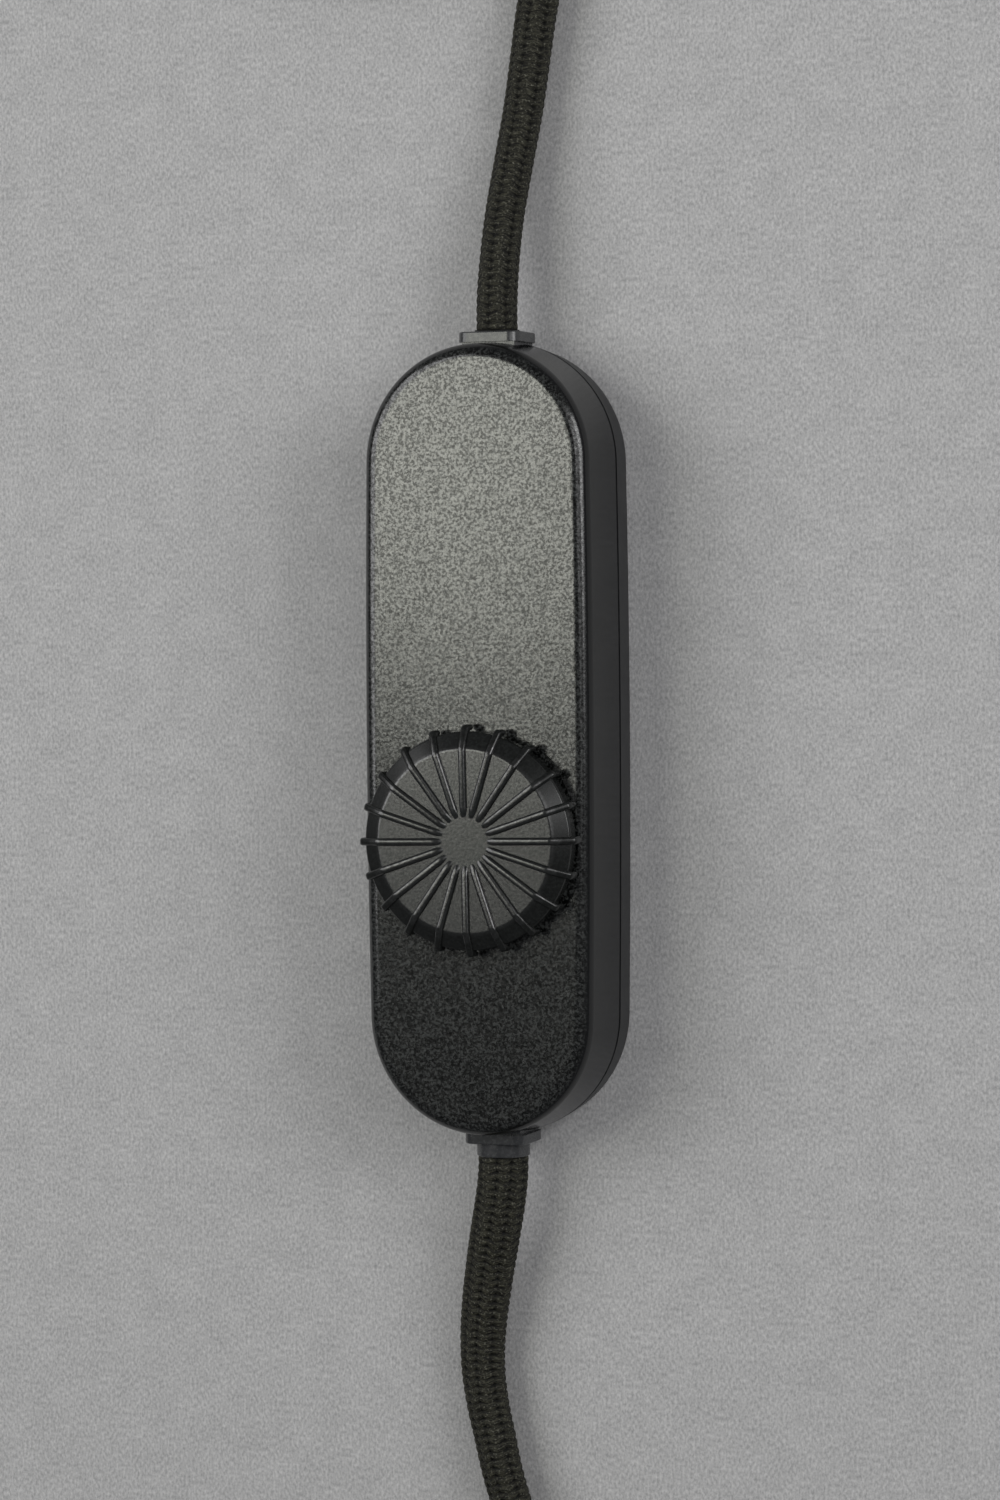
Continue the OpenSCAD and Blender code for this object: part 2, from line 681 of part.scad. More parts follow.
module potentiometer_rotor() {
    color("#e9e6da") translate([0, knob_y, 0]) {
        difference() {
            union() {
                translate([0, 0, rotor_bottom]) cylinder(r = rotor_radius, h = rotor_disc_top - rotor_bottom);
                translate([0, 0, rotor_bottom]) cylinder(r = rotor_hub_radius, h = rotor_top - rotor_bottom);
                translate([0, 0, rotor_bottom + 0.5]) rotate_extrude(angle = stop_angle)
                    translate([rotor_hub_radius - 0.5, 0])
                    square([rotor_radius - rotor_hub_radius + 0.4, rotor_top - rotor_bottom - 0.5]);
            }
            translate([0, 0, rotor_bottom - 1]) linear_extrude(rotor_top - rotor_bottom + 2) flatted(running);
        }
    }
}

module potentiometer_wiper() {
    color("#d0a446") translate([0, knob_y, wiper_bottom]) rotate([0, 0, stop_angle / 2]) {
        translate([rotor_hub_radius - 0.6, -1.6, 0]) cube([0.6, 3.2, 0.2]);
        translate([rotor_hub_radius + 0.4, -1.6, 0]) cube([0.6, 3.2, 0.2]);
        translate([shaft_radius + 0.4, -0.6, 0]) cube([rotor_hub_radius - shaft_radius + 0.1, 1.2, 0.2]);
        translate([rotor_hub_radius - 0.6, -1.6, 0]) cube([1.6, 0.6, 0.2]);
    }
}

module potentiometer_pins() {
    color("#c8cacd") for (s = [-1, 0, 1])
        block(s * 5 - 0.5, s * 5 + 0.5, knob_y - pot_side / 2 - 0.5, knob_y - pot_side / 2,
            board_top, switch_top + 1.6);
}

module switch_case() {
    color("#1f2a3a") translate([0, knob_y, 0]) difference() {
        block(-switch_side / 2, switch_side / 2, -switch_side / 2, switch_side / 2, board_top, switch_top);
        translate([0, 0, switch_floor]) cylinder(r = switch_bore, h = switch_height);
    }
}

module switch_plunger() {
    color("#e8e4d8") translate([0, knob_y, plunger_bottom])
        cylinder(r = plunger_radius, h = plunger_thickness);
}

// The spring stands between the switch floor and the plunger
spring_length = plunger_bottom - switch_floor;
spring_line = [for (i = [0 : spring_turns * 12]) let (a = 30 * i, t = i / (spring_turns * 12))
    [spring_radius * cos(a), knob_y + spring_radius * sin(a),
    switch_floor + spring_wire / 2 + 0.05 + (spring_length - spring_wire - 0.1) * t]];

module switch_spring() {
    color("#d5d8dc") tube(spring_line, spring_wire / 2, 6, level_ups(spring_line), false);
}

module triac_body() {
    color("#17181a")
        block(triac_x, triac_x + triac_body_depth, triac_y, triac_y + triac_body_length,
            triac_z, triac_z + triac_width);
}

module triac_tab() {
    color("#a9acb0") {
        difference() {
            translate([triac_x + triac_body_depth, triac_y, triac_z])
                cube([tab_thickness, tab_length, triac_width]);
            translate([triac_x, tab_hole_y, triac_z + triac_width / 2]) rotate([0, 90, 0])
                cylinder(r = 1.8, h = 12);
        }
        for (s = [-1, 0, 1]) {
            y = triac_y - 1.5 + s * 0.01 - abs(s) * 1.8;
            z = triac_z + triac_width / 2 + s * 2.54;
            translate([triac_x + 1.6, triac_y, z]) rotate([90, 0, 0])
                cylinder(r = lead_radius, h = triac_y - y + lead_radius, $fn = 16);
            riser(triac_x + 1.6, y, z);
        }
    }
}

module heat_sink() {
    color("#9fa3a8") difference() {
        block(sink_x, sink_x + sink_thickness, triac_y - 1.5, triac_y + tab_length + 3,
            board_top, triac_z + triac_width);
        translate([sink_x - 1, tab_hole_y, triac_z + triac_width / 2]) rotate([0, 90, 0])
            cylinder(r = screw_radius + fit, h = 4);
    }
}

module heat_sink_screw() {
    color("#c3c5c8") translate([triac_x + triac_body_depth, tab_hole_y, triac_z + triac_width / 2])
        rotate([0, 90, 0]) {
            difference() {
                translate([0, 0, -1.8]) cylinder(r = 2.6, h = 1.8);
                block(-3, 3, -0.35, 0.35, -2, -1);
            }
            cylinder(r = screw_radius, h = tab_thickness + sink_thickness);
        }
}

module choke_core() {
    color("#8f8a3a") translate([choke_x, choke_y, choke_z]) rotate_extrude()
        polygon([[choke_hole, 0.5], [choke_hole + 0.5, 0], [choke_radius - 0.5, 0], [choke_radius, 0.5],
            [choke_radius, choke_height - 0.5], [choke_radius - 0.5, choke_height],
            [choke_hole + 0.5, choke_height], [choke_hole, choke_height - 0.5]]);
}

// One turn of wire round the core's section, as eight corners outside it
choke_ring = let (a = choke_hole - choke_gap, b = choke_radius + choke_gap, c = -choke_gap,
    d = choke_height + choke_gap, k = 0.6)
    [[b - k, c], [b, c + k], [b, d - k], [b - k, d], [a + k, d], [a, d - k], [a, c + k], [a + k, c]];
choke_steps = choke_turns * 8;
function choke_angle(i) = choke_start + choke_spread * i / choke_steps;
function choke_point(r, a, z) = [choke_x + r * cos(a), choke_y + r * sin(a), choke_z + z];
function across(a) = [-sin(a), cos(a), 0];
choke_line = concat(
    [choke_point(choke_lead_reach, choke_start, -choke_gap)],
    [for (i = [0 : choke_steps]) choke_point(choke_ring[i % 8][0], choke_angle(i), choke_ring[i % 8][1])],
    [choke_point(choke_lead_reach, choke_start + choke_spread, -choke_gap)]);
choke_ups = concat(
    [across(choke_start)],
    [for (i = [0 : choke_steps]) across(choke_angle(i))],
    [across(choke_start + choke_spread)]);

module choke_winding() {
    color("#b0642c") tube(choke_line, choke_wire / 2, 6, choke_ups, false);
}

module film_capacitor() {
    color("#b23a30") translate(film_place) cube(film_size);
}

module electrolytic_capacitor() {
    color("#26324f") translate(can_place) rotate([-90, 0, 0]) difference() {
        cylinder(r = can_radius, h = can_length);
        translate([0, 0, 1.2]) rotate_extrude() translate([can_radius - 0.25, 0]) square([1, 0.8]);
    }
}

// An axial body along Y with two wider ends
module axial_body(p) {
    translate([p[0], p[1] - p[2] / 2, axial_z]) rotate([-90, 0, 0]) {
        cylinder(r = p[3] * 0.85, h = p[2]);
        cylinder(r = p[3], h = p[2] * 0.25);
        translate([0, 0, p[2] * 0.75]) cylinder(r = p[3], h = p[2] * 0.25);
    }
}

module resistors() {
    color("#c9a877") for (p = resistor_places) axial_body(p);
}

module diac() {
    color("#3f6f9c") for (p = diac_places) axial_body(p);
}

module along_fuse(y) {
    translate([fuse_x, fuse_y + y, fuse_z]) rotate([-90, 0, 0]) children();
}

module fuse_glass() {
    color("#cfe3e6") along_fuse(-fuse_length / 2 + 0.5) difference() {
        cylinder(r = fuse_diameter / 2 - 0.35, h = fuse_length - 1);
        translate([0, 0, -1]) cylinder(r = fuse_diameter / 2 - 1, h = fuse_length + 1);
    }
}

module fuse_caps() {
    color("#cdd0d3") for (s = [0, 1])
        along_fuse((s - 0.5) * fuse_length) mirror([0, 0, s]) difference() {
            cylinder(r = fuse_diameter / 2, h = cap_length);
            translate([0, 0, 0.4]) cylinder(r = fuse_diameter / 2 - 0.32, h = cap_length);
        }
}

module fuse_clips() {
    outside = fuse_diameter / 2 + fit + clip_wall;
    color("#b9a26a") for (s = [-1, 1]) {
        along_fuse(s * (fuse_length / 2 - 2.6) - 1.6) difference() {
            cylinder(r = outside, h = 3.2);
            translate([0, 0, -1]) cylinder(r = fuse_diameter / 2 + fit, h = 6);
            translate([-4, -8, -1]) cube([8, 6.4, 6]);
        }
        block(fuse_x - 1.8, fuse_x + 1.8, fuse_y + s * (fuse_length / 2 - 2.6) - 1.6,
            fuse_y + s * (fuse_length / 2 - 2.6) + 1.6, board_top, fuse_z - outside + 0.3);
    }
}

module terminal_block() {
    difference() {
        block(-terminal_width / 2, terminal_width / 2, terminal_y - terminal_depth / 2,
            terminal_y + terminal_depth / 2, board_top, board_top + terminal_height);
        for (x = [-terminal_pitch / 2, terminal_pitch / 2]) {
            translate([x, terminal_y + terminal_depth, terminal_entry_z]) rotate([90, 0, 0])
                cylinder(r = terminal_entry_radius, h = terminal_depth + 2);
            translate([x, terminal_y, board_top + terminal_height - 3]) cylinder(r = 2.2, h = 4);
        }
    }
}

module terminal_block_plug_side() {
    color("#d9d6cc") rotate([0, 0, 180]) terminal_block();
}

module terminal_block_lamp_side() {
    color("#d9d6cc") terminal_block();
}

module terminal_screws() {
    color("#c3c5c8") at_ends() for (x = [-terminal_pitch / 2, terminal_pitch / 2])
        translate([x, terminal_y, board_top + terminal_height - 3]) difference() {
            cylinder(r = 2.1, h = 2.4);
            block(-3, 3, -0.35, 0.35, 1.5, 3);
        }
}

// Cores run from the sheath to the terminals
core_radius = core_diameter / 2;
function core_line(side) = let (from = sheath_end, to = terminal_y + terminal_depth / 2 - 1.5, n = 6)
    concat([[side * core_radius * 1.15, from, cord_height]],
    [for (i = [0 : n]) let (t = ease(i / n))
        [side * (core_radius * 1.15 + (terminal_pitch / 2 - core_radius * 1.15) * t),
        from - 1 + (to + 2.5 - from) * i / n, cord_height + (terminal_entry_z - cord_height) * t]],
    [[side * terminal_pitch / 2, to, terminal_entry_z]]);

module inner_core(side) {
    tube(core_line(side), core_radius, 8, level_ups(core_line(side)));
}

module live_cores() {
    color("#6b3b1e") at_ends() inner_core(1);
}

module neutral_cores() {
    color("#2f55a4") at_ends() inner_core(-1);
}

module cord_inside(mouth) {
    translate([0, mouth, cord_height]) rotate([90, 0, 0]) cylinder(r = cord_radius, h = mouth - sheath_end);
}

module cord_inside_plug_side() {
    color("#2b2a26") rotate([0, 0, 180]) cord_inside(mouth_plug);
}

module cord_inside_lamp_side() {
    color("#2b2a26") cord_inside(mouth_lamp);
}

module cord_plug_side() {
    color("#2b2a26") tube(route_plug, cord_radius, 8, level_ups(route_plug));
}

module cord_lamp_side() {
    color("#2b2a26") tube(route_lamp, cord_radius, 8, level_ups(route_lamp));
}

// The plug side lies at negative Y, so its lines are mirrored there and run the other way round
plug_hank_route = [for (p = plug_hank_line) [p[0], -p[1], p[2]]];

module hank_plug_side() {
    color("#2b2a26") tube(plug_hank_route, cord_radius, 6, level_ups(plug_hank_route));
}

module hank_lamp_side() {
    color("#2b2a26") tube(lamp_hank_line, cord_radius, 6, level_ups(lamp_hank_line));
}

// A strap round a hank's runs, whose top steps from one side's height to the other's
strap_half = hank_fold - hank_waist + cord_radius + 0.2;
function strap_outline(grow, left, right) = let (h = strap_half + grow, d = cord_diameter + 1.2) [
    [-h, tie_thickness - grow], [h, tie_thickness - grow], [h, right + grow], [h - d, right + grow],
    [d - h, left + grow], [-h, left + grow]];

module strap(u, left, right) {
    translate([hank_x, u + tie_width / 2, 0]) rotate([90, 0, 0]) linear_extrude(tie_width) difference() {
        polygon(strap_outline(tie_thickness, left, right));
        polygon(strap_outline(0, left, right));
    }
}

function layer_top(level) = hank_z + hank_step * level + hank_lift + cord_radius + 0.15;

module hank_tie_plug_side() {
    color("#3a3a3c") strap(-plug_hank[4], layer_top(plug_hank[3] - 1), layer_top(plug_hank[3] - 1));
}

module hank_tie_lamp_side() {
    color("#3a3a3c") strap(lamp_hank[4], layer_top(0), layer_top(1));
}

// Places children on the plug's axis, with their +Z along the pins
module on_plug(u) {
    translate([hank_x, -u, plug_axis_z]) rotate([90, 0, 0]) children();
}

module plug_strain_relief() {
    color("#202124") on_plug(plug_relief_start) difference() {
        cylinder(r1 = cord_radius + 0.8, r2 = cord_radius + 2, h = plug_relief_length);
        for (z = [3 : 4 : plug_relief_length - 4], a = [0 : 90 : 270])
            translate([0, 0, z + (a % 180) / 45]) rotate([0, 0, a])
                translate([cord_radius + 0.9, -3, 0]) cube([2, 6, 1.5]);
    }
}

// The plug's outline from above, from its tail to its face
plug_tail = 12;
plug_outline = let (w = plug_width / 2, h = plug_body_length) [
    [-plug_tail / 2, 0], [plug_tail / 2, 0], [w - 4.5, h * 0.4], [w - 1, h * 0.55], [w, h * 0.7], [w, h],
    [-w, h], [-w, h * 0.7], [1 - w, h * 0.55], [4.5 - w, h * 0.4]];

module plug_body() {
    color("#202124") on_plug(plug_body_start) intersection() {
        linear_extrude(plug_body_length) polygon(rounded_points(plug_width, plug_thickness, 4));
        rotate([90, 0, 0]) translate([0, 0, -plug_thickness]) linear_extrude(2 * plug_thickness)
            polygon(plug_outline);
    }
}

module at_pins() {
    for (s = [-1, 1]) translate([s * pin_spacing / 2, 0, 0]) on_plug(plug_body_end) children();
}

module plug_pin_sleeves() {
    color("#202124") at_pins() difference() {
        cylinder(r = pin_radius, h = pin_sleeve);
        translate([0, 0, -1]) cylinder(r = pin_radius - pin_sleeve_wall, h = pin_sleeve + 2);
    }
}

module plug_pins() {
    color("#cfd1d4") at_pins() {
        cylinder(r = pin_radius - pin_sleeve_wall - fit, h = pin_sleeve);
        translate([0, 0, pin_sleeve]) cylinder(r = pin_radius, h = pin_length - pin_sleeve - pin_taper);
        translate([0, 0, pin_length - pin_taper]) cylinder(r1 = pin_radius, r2 = pin_radius - 1, h = pin_taper);
    }
}

module lamp_end_sleeve() {
    color("#1c1c1e") translate([lamp_end_x, lamp_end_u, lamp_end_z]) rotate([-90, 0, 0])
        cylinder(r1 = cord_radius + 0.3, r2 = cord_radius - 0.3, h = end_sleeve_length);
}

// The two bare-ended cores droop onto the run below them
core_droop = 2.2;
function end_core(side) = let (from = lamp_end_u + end_sleeve_length, n = 6)
    concat([[lamp_end_x + side * core_radius * 1.1, from, lamp_end_z]],
    [for (i = [0 : n]) let (t = ease(i / n))
        [lamp_end_x + side * (core_radius * 1.1 + 0.6 * t), from + 1.5 + (end_core_length - 3) * i / n,
        lamp_end_z - core_droop * t]],
    [[lamp_end_x + side * (core_radius * 1.1 + 0.6), from + end_core_length, lamp_end_z - core_droop]]);

module lamp_end_cores() {
    for (side = [-1, 1]) color(side > 0 ? "#6b3b1e" : "#2f55a4")
        tube(end_core(side), core_radius, 8, level_ups(end_core(side)));
}

module lamp_end_ferrules() {
    color("#c9ccd0") for (side = [-1, 1]) {
        line = end_core(side);
        translate(line[len(line) - 1]) rotate([-90, 0, 0]) cylinder(r = 0.8, h = ferrule_length);
    }
}

echo(plug_hank_gap = self_gap(plug_hank_route, cord_radius, 5));
echo(lamp_hank_gap = self_gap(lamp_hank_line, cord_radius, 5));
echo(choke_winding_gap = self_gap(choke_line, choke_wire / 2, 5));
echo(spring_gap = self_gap(spring_line, spring_wire / 2, 8));

top_cover();
bottom_cover();
cover_screws();
knob();
knob_shaft();
cord_bush_plug_side();
cord_bush_lamp_side();
clamp_bar_plug_side();
clamp_bar_lamp_side();
clamp_screws();
circuit_board();
board_leads();
potentiometer_case();
potentiometer_bushing();
potentiometer_track();
potentiometer_rotor();
potentiometer_wiper();
potentiometer_pins();
switch_case();
switch_plunger();
switch_spring();
triac_body();
triac_tab();
heat_sink();
heat_sink_screw();
choke_core();
choke_winding();
film_capacitor();
electrolytic_capacitor();
resistors();
diac();
fuse_glass();
fuse_caps();
fuse_clips();
terminal_block_plug_side();
terminal_block_lamp_side();
terminal_screws();
live_cores();
neutral_cores();
cord_inside_plug_side();
cord_inside_lamp_side();
cord_plug_side();
hank_plug_side();
hank_tie_plug_side();
plug_strain_relief();
plug_body();
plug_pin_sleeves();
plug_pins();
cord_lamp_side();
hank_lamp_side();
hank_tie_lamp_side();
lamp_end_sleeve();
lamp_end_cores();
lamp_end_ferrules();
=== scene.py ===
"""Looks of an in-line rotary dimmer on a braided lamp cord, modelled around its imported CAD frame.

X is the width, Y the length and Z the height. Sizes are millimetres times MM, so that all is in metres.
"""

import json
import math
from collections import namedtuple

import bmesh
import bpy
import numpy as np
from mathutils import Matrix, Vector


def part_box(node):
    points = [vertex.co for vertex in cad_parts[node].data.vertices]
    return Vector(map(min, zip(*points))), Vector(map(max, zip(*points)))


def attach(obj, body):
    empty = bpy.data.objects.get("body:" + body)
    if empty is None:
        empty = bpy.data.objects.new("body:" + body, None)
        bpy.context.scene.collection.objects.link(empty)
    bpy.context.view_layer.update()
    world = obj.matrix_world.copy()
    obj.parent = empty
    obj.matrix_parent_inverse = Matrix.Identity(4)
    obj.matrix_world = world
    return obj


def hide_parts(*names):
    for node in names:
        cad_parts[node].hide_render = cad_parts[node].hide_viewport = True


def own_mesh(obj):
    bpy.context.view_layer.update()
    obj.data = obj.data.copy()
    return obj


MM = 0.001
# Two places in a mesh that are this near count as one place
NEAR = 0.01 * MM
# Two directions whose dot product is above this count as one direction
FACING = 0.9

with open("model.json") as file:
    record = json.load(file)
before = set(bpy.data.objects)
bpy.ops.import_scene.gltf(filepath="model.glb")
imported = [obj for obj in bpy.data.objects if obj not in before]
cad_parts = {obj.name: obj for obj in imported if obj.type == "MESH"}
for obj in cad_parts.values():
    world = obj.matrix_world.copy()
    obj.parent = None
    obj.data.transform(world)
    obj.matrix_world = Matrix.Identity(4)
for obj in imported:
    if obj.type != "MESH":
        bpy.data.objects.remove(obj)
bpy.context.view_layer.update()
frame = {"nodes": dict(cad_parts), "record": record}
bpy.context.scene.view_settings.view_transform = "Standard"

# ---------------------------------------------------------------- sizes

# Housing, with the CAD covers' own box for what it gives
COVER_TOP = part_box("top_cover")[1].z
SEAM = 6.4 * MM
HALF_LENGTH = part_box("top_cover")[1].y
HALF_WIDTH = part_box("top_cover")[1].x
SIDE_BULGE = 0.35 * MM
END_RADIUS = HALF_WIDTH - SIDE_BULGE
END_Y = HALF_LENGTH - END_RADIUS
WALL = 1.8 * MM
DRAFT = math.tan(math.radians(4))
TOP_FILLET = 2.0 * MM
BOTTOM_FILLET = 1.0 * MM
SEAM_BREAK = 0.1 * MM
SEAM_SLOT = 0.26 * MM
LIP_INSET = 0.5 * MM
LIP_REACH = 1.0 * MM
FACE_MARGIN = 0.25 * MM
ROUND_STEPS = 128
SIDE_CUTS = 23

# Cover screws, with their bosses
SCREW_X = 12.3 * MM
SCREW_Y = 38.2 * MM
SCREW_SPLIT = SEAM + 1.6 * MM
SCREW_BOSS = 3.4 * MM
SCREW_HOLE = 1.5 * MM
SCREW_HEAD_HOLE = 2.7 * MM
SCREW_SEAT = 2.4 * MM
SCREWS = [(x, y) for x in (-SCREW_X, SCREW_X) for y in (-SCREW_Y, SCREW_Y)]

# Knob
KNOB_Y = -14.4 * MM
KNOB_TOP = 22.95 * MM
KNOB_BOTTOM = 19.1 * MM
DISC_RADIUS = 13.45 * MM
RIM_RADIUS = 16.0 * MM
BEVEL_HEIGHT = 1.25 * MM
SHOULDER_ROUND = 0.35 * MM
DISC_ROUND = 0.16 * MM
DISC_MARGIN = 0.1 * MM
KNOB_DRAFT = 0.2 * MM
KNOB_WALL = 1.6 * MM
KNOB_CEILING = 0.9 * MM
KNOB_SIDES = 160
HUB_RADIUS = 4.2 * MM
HUB_BOTTOM = 16.4 * MM
HUB_HOLE = 4.6 * MM
SHAFT_RADIUS = 3.05 * MM
RIBS = 20
RIB_PHASE = math.radians(1)
RIB_WIDTH = 1.15 * MM
RIB_HEIGHT = 0.5 * MM
RIB_REACH = 0.9 * MM
RIB_DEPTH = 1.2 * MM
RIB_RAMP = 1.9 * MM
RIB_RAMP_SINK = 0.1 * MM
RIB_TIP_DROP = 0.45 * MM
RIB_FOOT = 0.25 * MM
RIB_FOOT_SLOPE = 0.2 * MM
RIB_ROUND = 0.48 * MM
EYE_RADIUS = 3.15 * MM

# Bushes
CORD_HEIGHT = 7.5 * MM
FLANGE = Vector((9.6, 1.0, 9.1)) * MM
FLANGE_CORNER = 1.7 * MM
FLANGE_BACK = 58.95 * MM
FLANGE_SEAT = 0.5 * MM
FLANGE_EDGE = 0.22 * MM
NECK = Vector((8.2, 4.0, 7.9)) * MM
NECK_OVERLAP = 0.3 * MM
NECK_MOUTH = 8.0 * MM
COLLAR_RADIUS = 3.95 * MM
COLLAR_LENGTH = 2.05 * MM
COLLAR_OVERLAP = 0.4 * MM
COLLAR_EDGE = 0.25 * MM
BORE_FROM = 43 * MM
BORE_TO = 73 * MM
BORE_PLAY = 0.05 * MM

# Cord
CORD_DIAMETER = 6.6 * MM
CORD_RADIUS = CORD_DIAMETER / 2

# Braid: its columns round the cord and rows along it, how far each V rises across half a column and
# strays, by how much of the stray's wave in radians the next row and column are on, how deep its groove
# is in a column's middle, and how deep its holes and what lies between are
BRAID_COLUMNS = 8
BRAID_PITCH = 1.25 * MM
BRAID_DEPTH = 0.46 * MM
BRAID_RISE = 0.3
BRAID_STRAY = 0.05
STRAY_BY_ROW = 0.9
STRAY_BY_COLUMN = 2.1
GROOVE_MIDDLE = 0.4
HOLE_DEPTH = 0.6
HOLE_BETWEEN = 0.3

# Cord meshes: fine where the braid is modelled, from the bush on, and coarse beyond
PLUG_FINE = 66 * MM
LAMP_FINE = 60 * MM
FINE_SIDES = 96
FINE_STEP = 0.17 * MM
COARSE_SIDES = 32
COARSE_STEP = 0.75 * MM
LINE_STEP = 0.2 * MM
TANGENT_REACH = 0.4 * MM

# Hank straps: play round the cord, where the lamp side's steps up, and the bend of a corner
STRAP_SIDE_PLAY = 0.2 * MM
STRAP_TOP_PLAY = 0.15 * MM
STRAP_STEP = 7.8 * MM
STRAP_CORNER = 2.6 * MM

# Plug and its strain relief. The plug keeps its width over a share of its length and then draws in:
# each step is a share of the length and the share of the width that is left.
PLUG_WIDTH = 35 * MM
PLUG_THICKNESS = 13.7 * MM
PLUG_TAIL_Y = -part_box("plug_body")[1].y
PLUG_FACE_Y = -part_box("plug_body")[0].y
PLUG_STRAIGHT = 0.3
PLUG_STEPS = ((0.15, 0.94), (0.15, 0.83), (0.2, 0.72), (0.2, 0.62))
PLUG_THINNING = 0.97
PLUG_EDGE = 3.2 * MM
RELIEF_START_Y = -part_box("plug_strain_relief")[1].y
RELIEF_THIN = CORD_RADIUS + 0.8 * MM
RELIEF_THICK = CORD_RADIUS + 2 * MM
RELIEF_LEAD = 0.5 * MM
RELIEF_GROOVES = 6
RELIEF_GROOVE_DEPTH = 0.9 * MM
RELIEF_EDGE = 0.25 * MM

# ---------------------------------------------------------------- camera

CAMERA_TURN = math.radians(20.42)
CAMERA_TILT = math.radians(2.24)
CAMERA_ROLL = math.radians(0.45)
CAMERA_DISTANCE = 624.5 * MM
CAMERA_ASIDE = Vector((2.67, 2.00, 0)) * MM
LENS_LENGTH = 100
SENSOR_WIDTH = 36


def make_camera():
    """A long lens above the housing, a little to its right."""
    data = bpy.data.cameras.new("camera")
    data.lens = LENS_LENGTH
    data.sensor_width = SENSOR_WIDTH
    camera = bpy.data.objects.new("camera", data)
    bpy.context.scene.collection.objects.link(camera)
    turn = (
        Matrix.Rotation(CAMERA_ROLL, 3, "Z")
        @ Matrix.Rotation(CAMERA_TILT, 3, "X")
        @ Matrix.Rotation(-CAMERA_TURN, 3, "Y")
    ).transposed()
    place = turn @ (Vector((0, 0, CAMERA_DISTANCE)) - CAMERA_ASIDE)
    camera.matrix_world = Matrix.Translation(place) @ turn.to_4x4()
    bpy.context.scene.camera = camera


make_camera()

# ---------------------------------------------------------------- cord routes

# Free stretches, from the mouth of each bush to its hank
ROUTE_PLUG = [
    (0, -62.0, 7.5), (-0.1, -65.0, 7.5), (-0.7, -69, 7.2), (-1.8, -74, 6.5), (-3.1, -79.5, 5.4),
    (-4.2, -85, 4.5), (-4.9, -90, 3.8), (-5, -95, 3.5), (-4.3, -100.5, 3.4), (-3.3, -105, 3.4),
    (-2.2, -110, 3.4), (-0.2, -116.5, 3.4), (2.3, -123, 3.4), (5.1, -129, 3.4), (8.1, -135, 3.4),
    (11, -141, 3.4), (13.4, -147.5, 3.4), (14.8, -154, 3.4), (15.2, -160, 3.4), (15.2, -166, 3.4),
]
ROUTE_LAMP = [
    (0, 60.3, 7.5), (0, 63.8, 7.5), (0.2, 70.5, 6.8), (0.6, 77, 5.7), (1.6, 85, 4.3), (2.9, 93, 3.5),
    (4.1, 101, 3.4), (5.2, 108, 3.4), (6.7, 114.5, 3.4), (8.8, 121, 3.4), (11.2, 127.5, 3.4),
    (13.4, 134, 3.4), (14.9, 140.5, 3.4), (15.2, 146, 3.4), (15.2, 151, 3.4),
]

# Hanks: where the cord reaches them, the middles of their near and far folds, their loops, the place
# of their tie and how far from it the runs are drawn in, all along Y
Hank = namedtuple("Hank", "reached near far loops tie reach")
PLUG_HANK = Hank(166, 142.8, 267.2, 3, 216, 40)
LAMP_HANK = Hank(151, 138, 238, 1, 193, 32)
HANK_X = -4.6
HANK_FOLD = 19.8
HANK_STEP = 7.1
HANK_Z = 3.4
HANK_LIFT = 0.5
HANK_WAIST = 4.2
HANK_GRIP = 6
TIE_WIDTH = 9.0
TIE_THICKNESS = 0.4
PLUG_AXIS_Z = 28.4
PLUG_LEAD = 52
PLUG_LEAD_STEPS = 10
FOLD_STEP = 30
RISE_STEPS = 4


def ease(t):
    """A smooth step from 0 to 1."""
    u = min(max(t, 0), 1)
    return u * u * (3 - 2 * u)


def run_point(hank, side, u, level):
    """A point on a hank's run, which is drawn in towards the tie."""
    drawn = ease((hank.reach - abs(u - hank.tie)) / (hank.reach - HANK_GRIP))
    return (
        HANK_X + side * (HANK_FOLD - HANK_WAIST * drawn),
        u,
        HANK_Z + HANK_STEP * level + HANK_LIFT * drawn,
    )


def fold_point(middle, degrees, level):
    """A point on the half turn at a hank's end."""
    angle = math.radians(degrees)
    return (
        HANK_X + HANK_FOLD * math.cos(angle),
        middle + HANK_FOLD * math.sin(angle),
        HANK_Z + HANK_STEP * level,
    )


def hank_points(hank):
    """Out on one run, round the far fold, back on the other and round the near fold, a layer a loop."""
    grips = [hank.tie + by for by in (-hank.reach, -HANK_GRIP, HANK_GRIP, hank.reach)]
    foot = grips[1]
    points = []
    for level in range(hank.loops):
        entry = hank.reached + CORD_DIAMETER / MM if level == 0 else hank.near
        points += [run_point(hank, 1, u, level) for u in [entry, *grips]]
        points += [fold_point(hank.far, degrees, level) for degrees in range(0, 181, FOLD_STEP)]
        points += [run_point(hank, -1, u, level) for u in (grips[3], grips[2])]
        for i in range(RISE_STEPS):
            t = i / RISE_STEPS
            points.append(run_point(hank, -1, foot + (hank.near - foot) * t, level + ease(t)))
        points += [fold_point(hank.near, degrees, level + 1) for degrees in range(180, 360, FOLD_STEP)]
    points.append((HANK_X + HANK_FOLD, hank.near, HANK_Z + HANK_STEP * hank.loops))
    return points


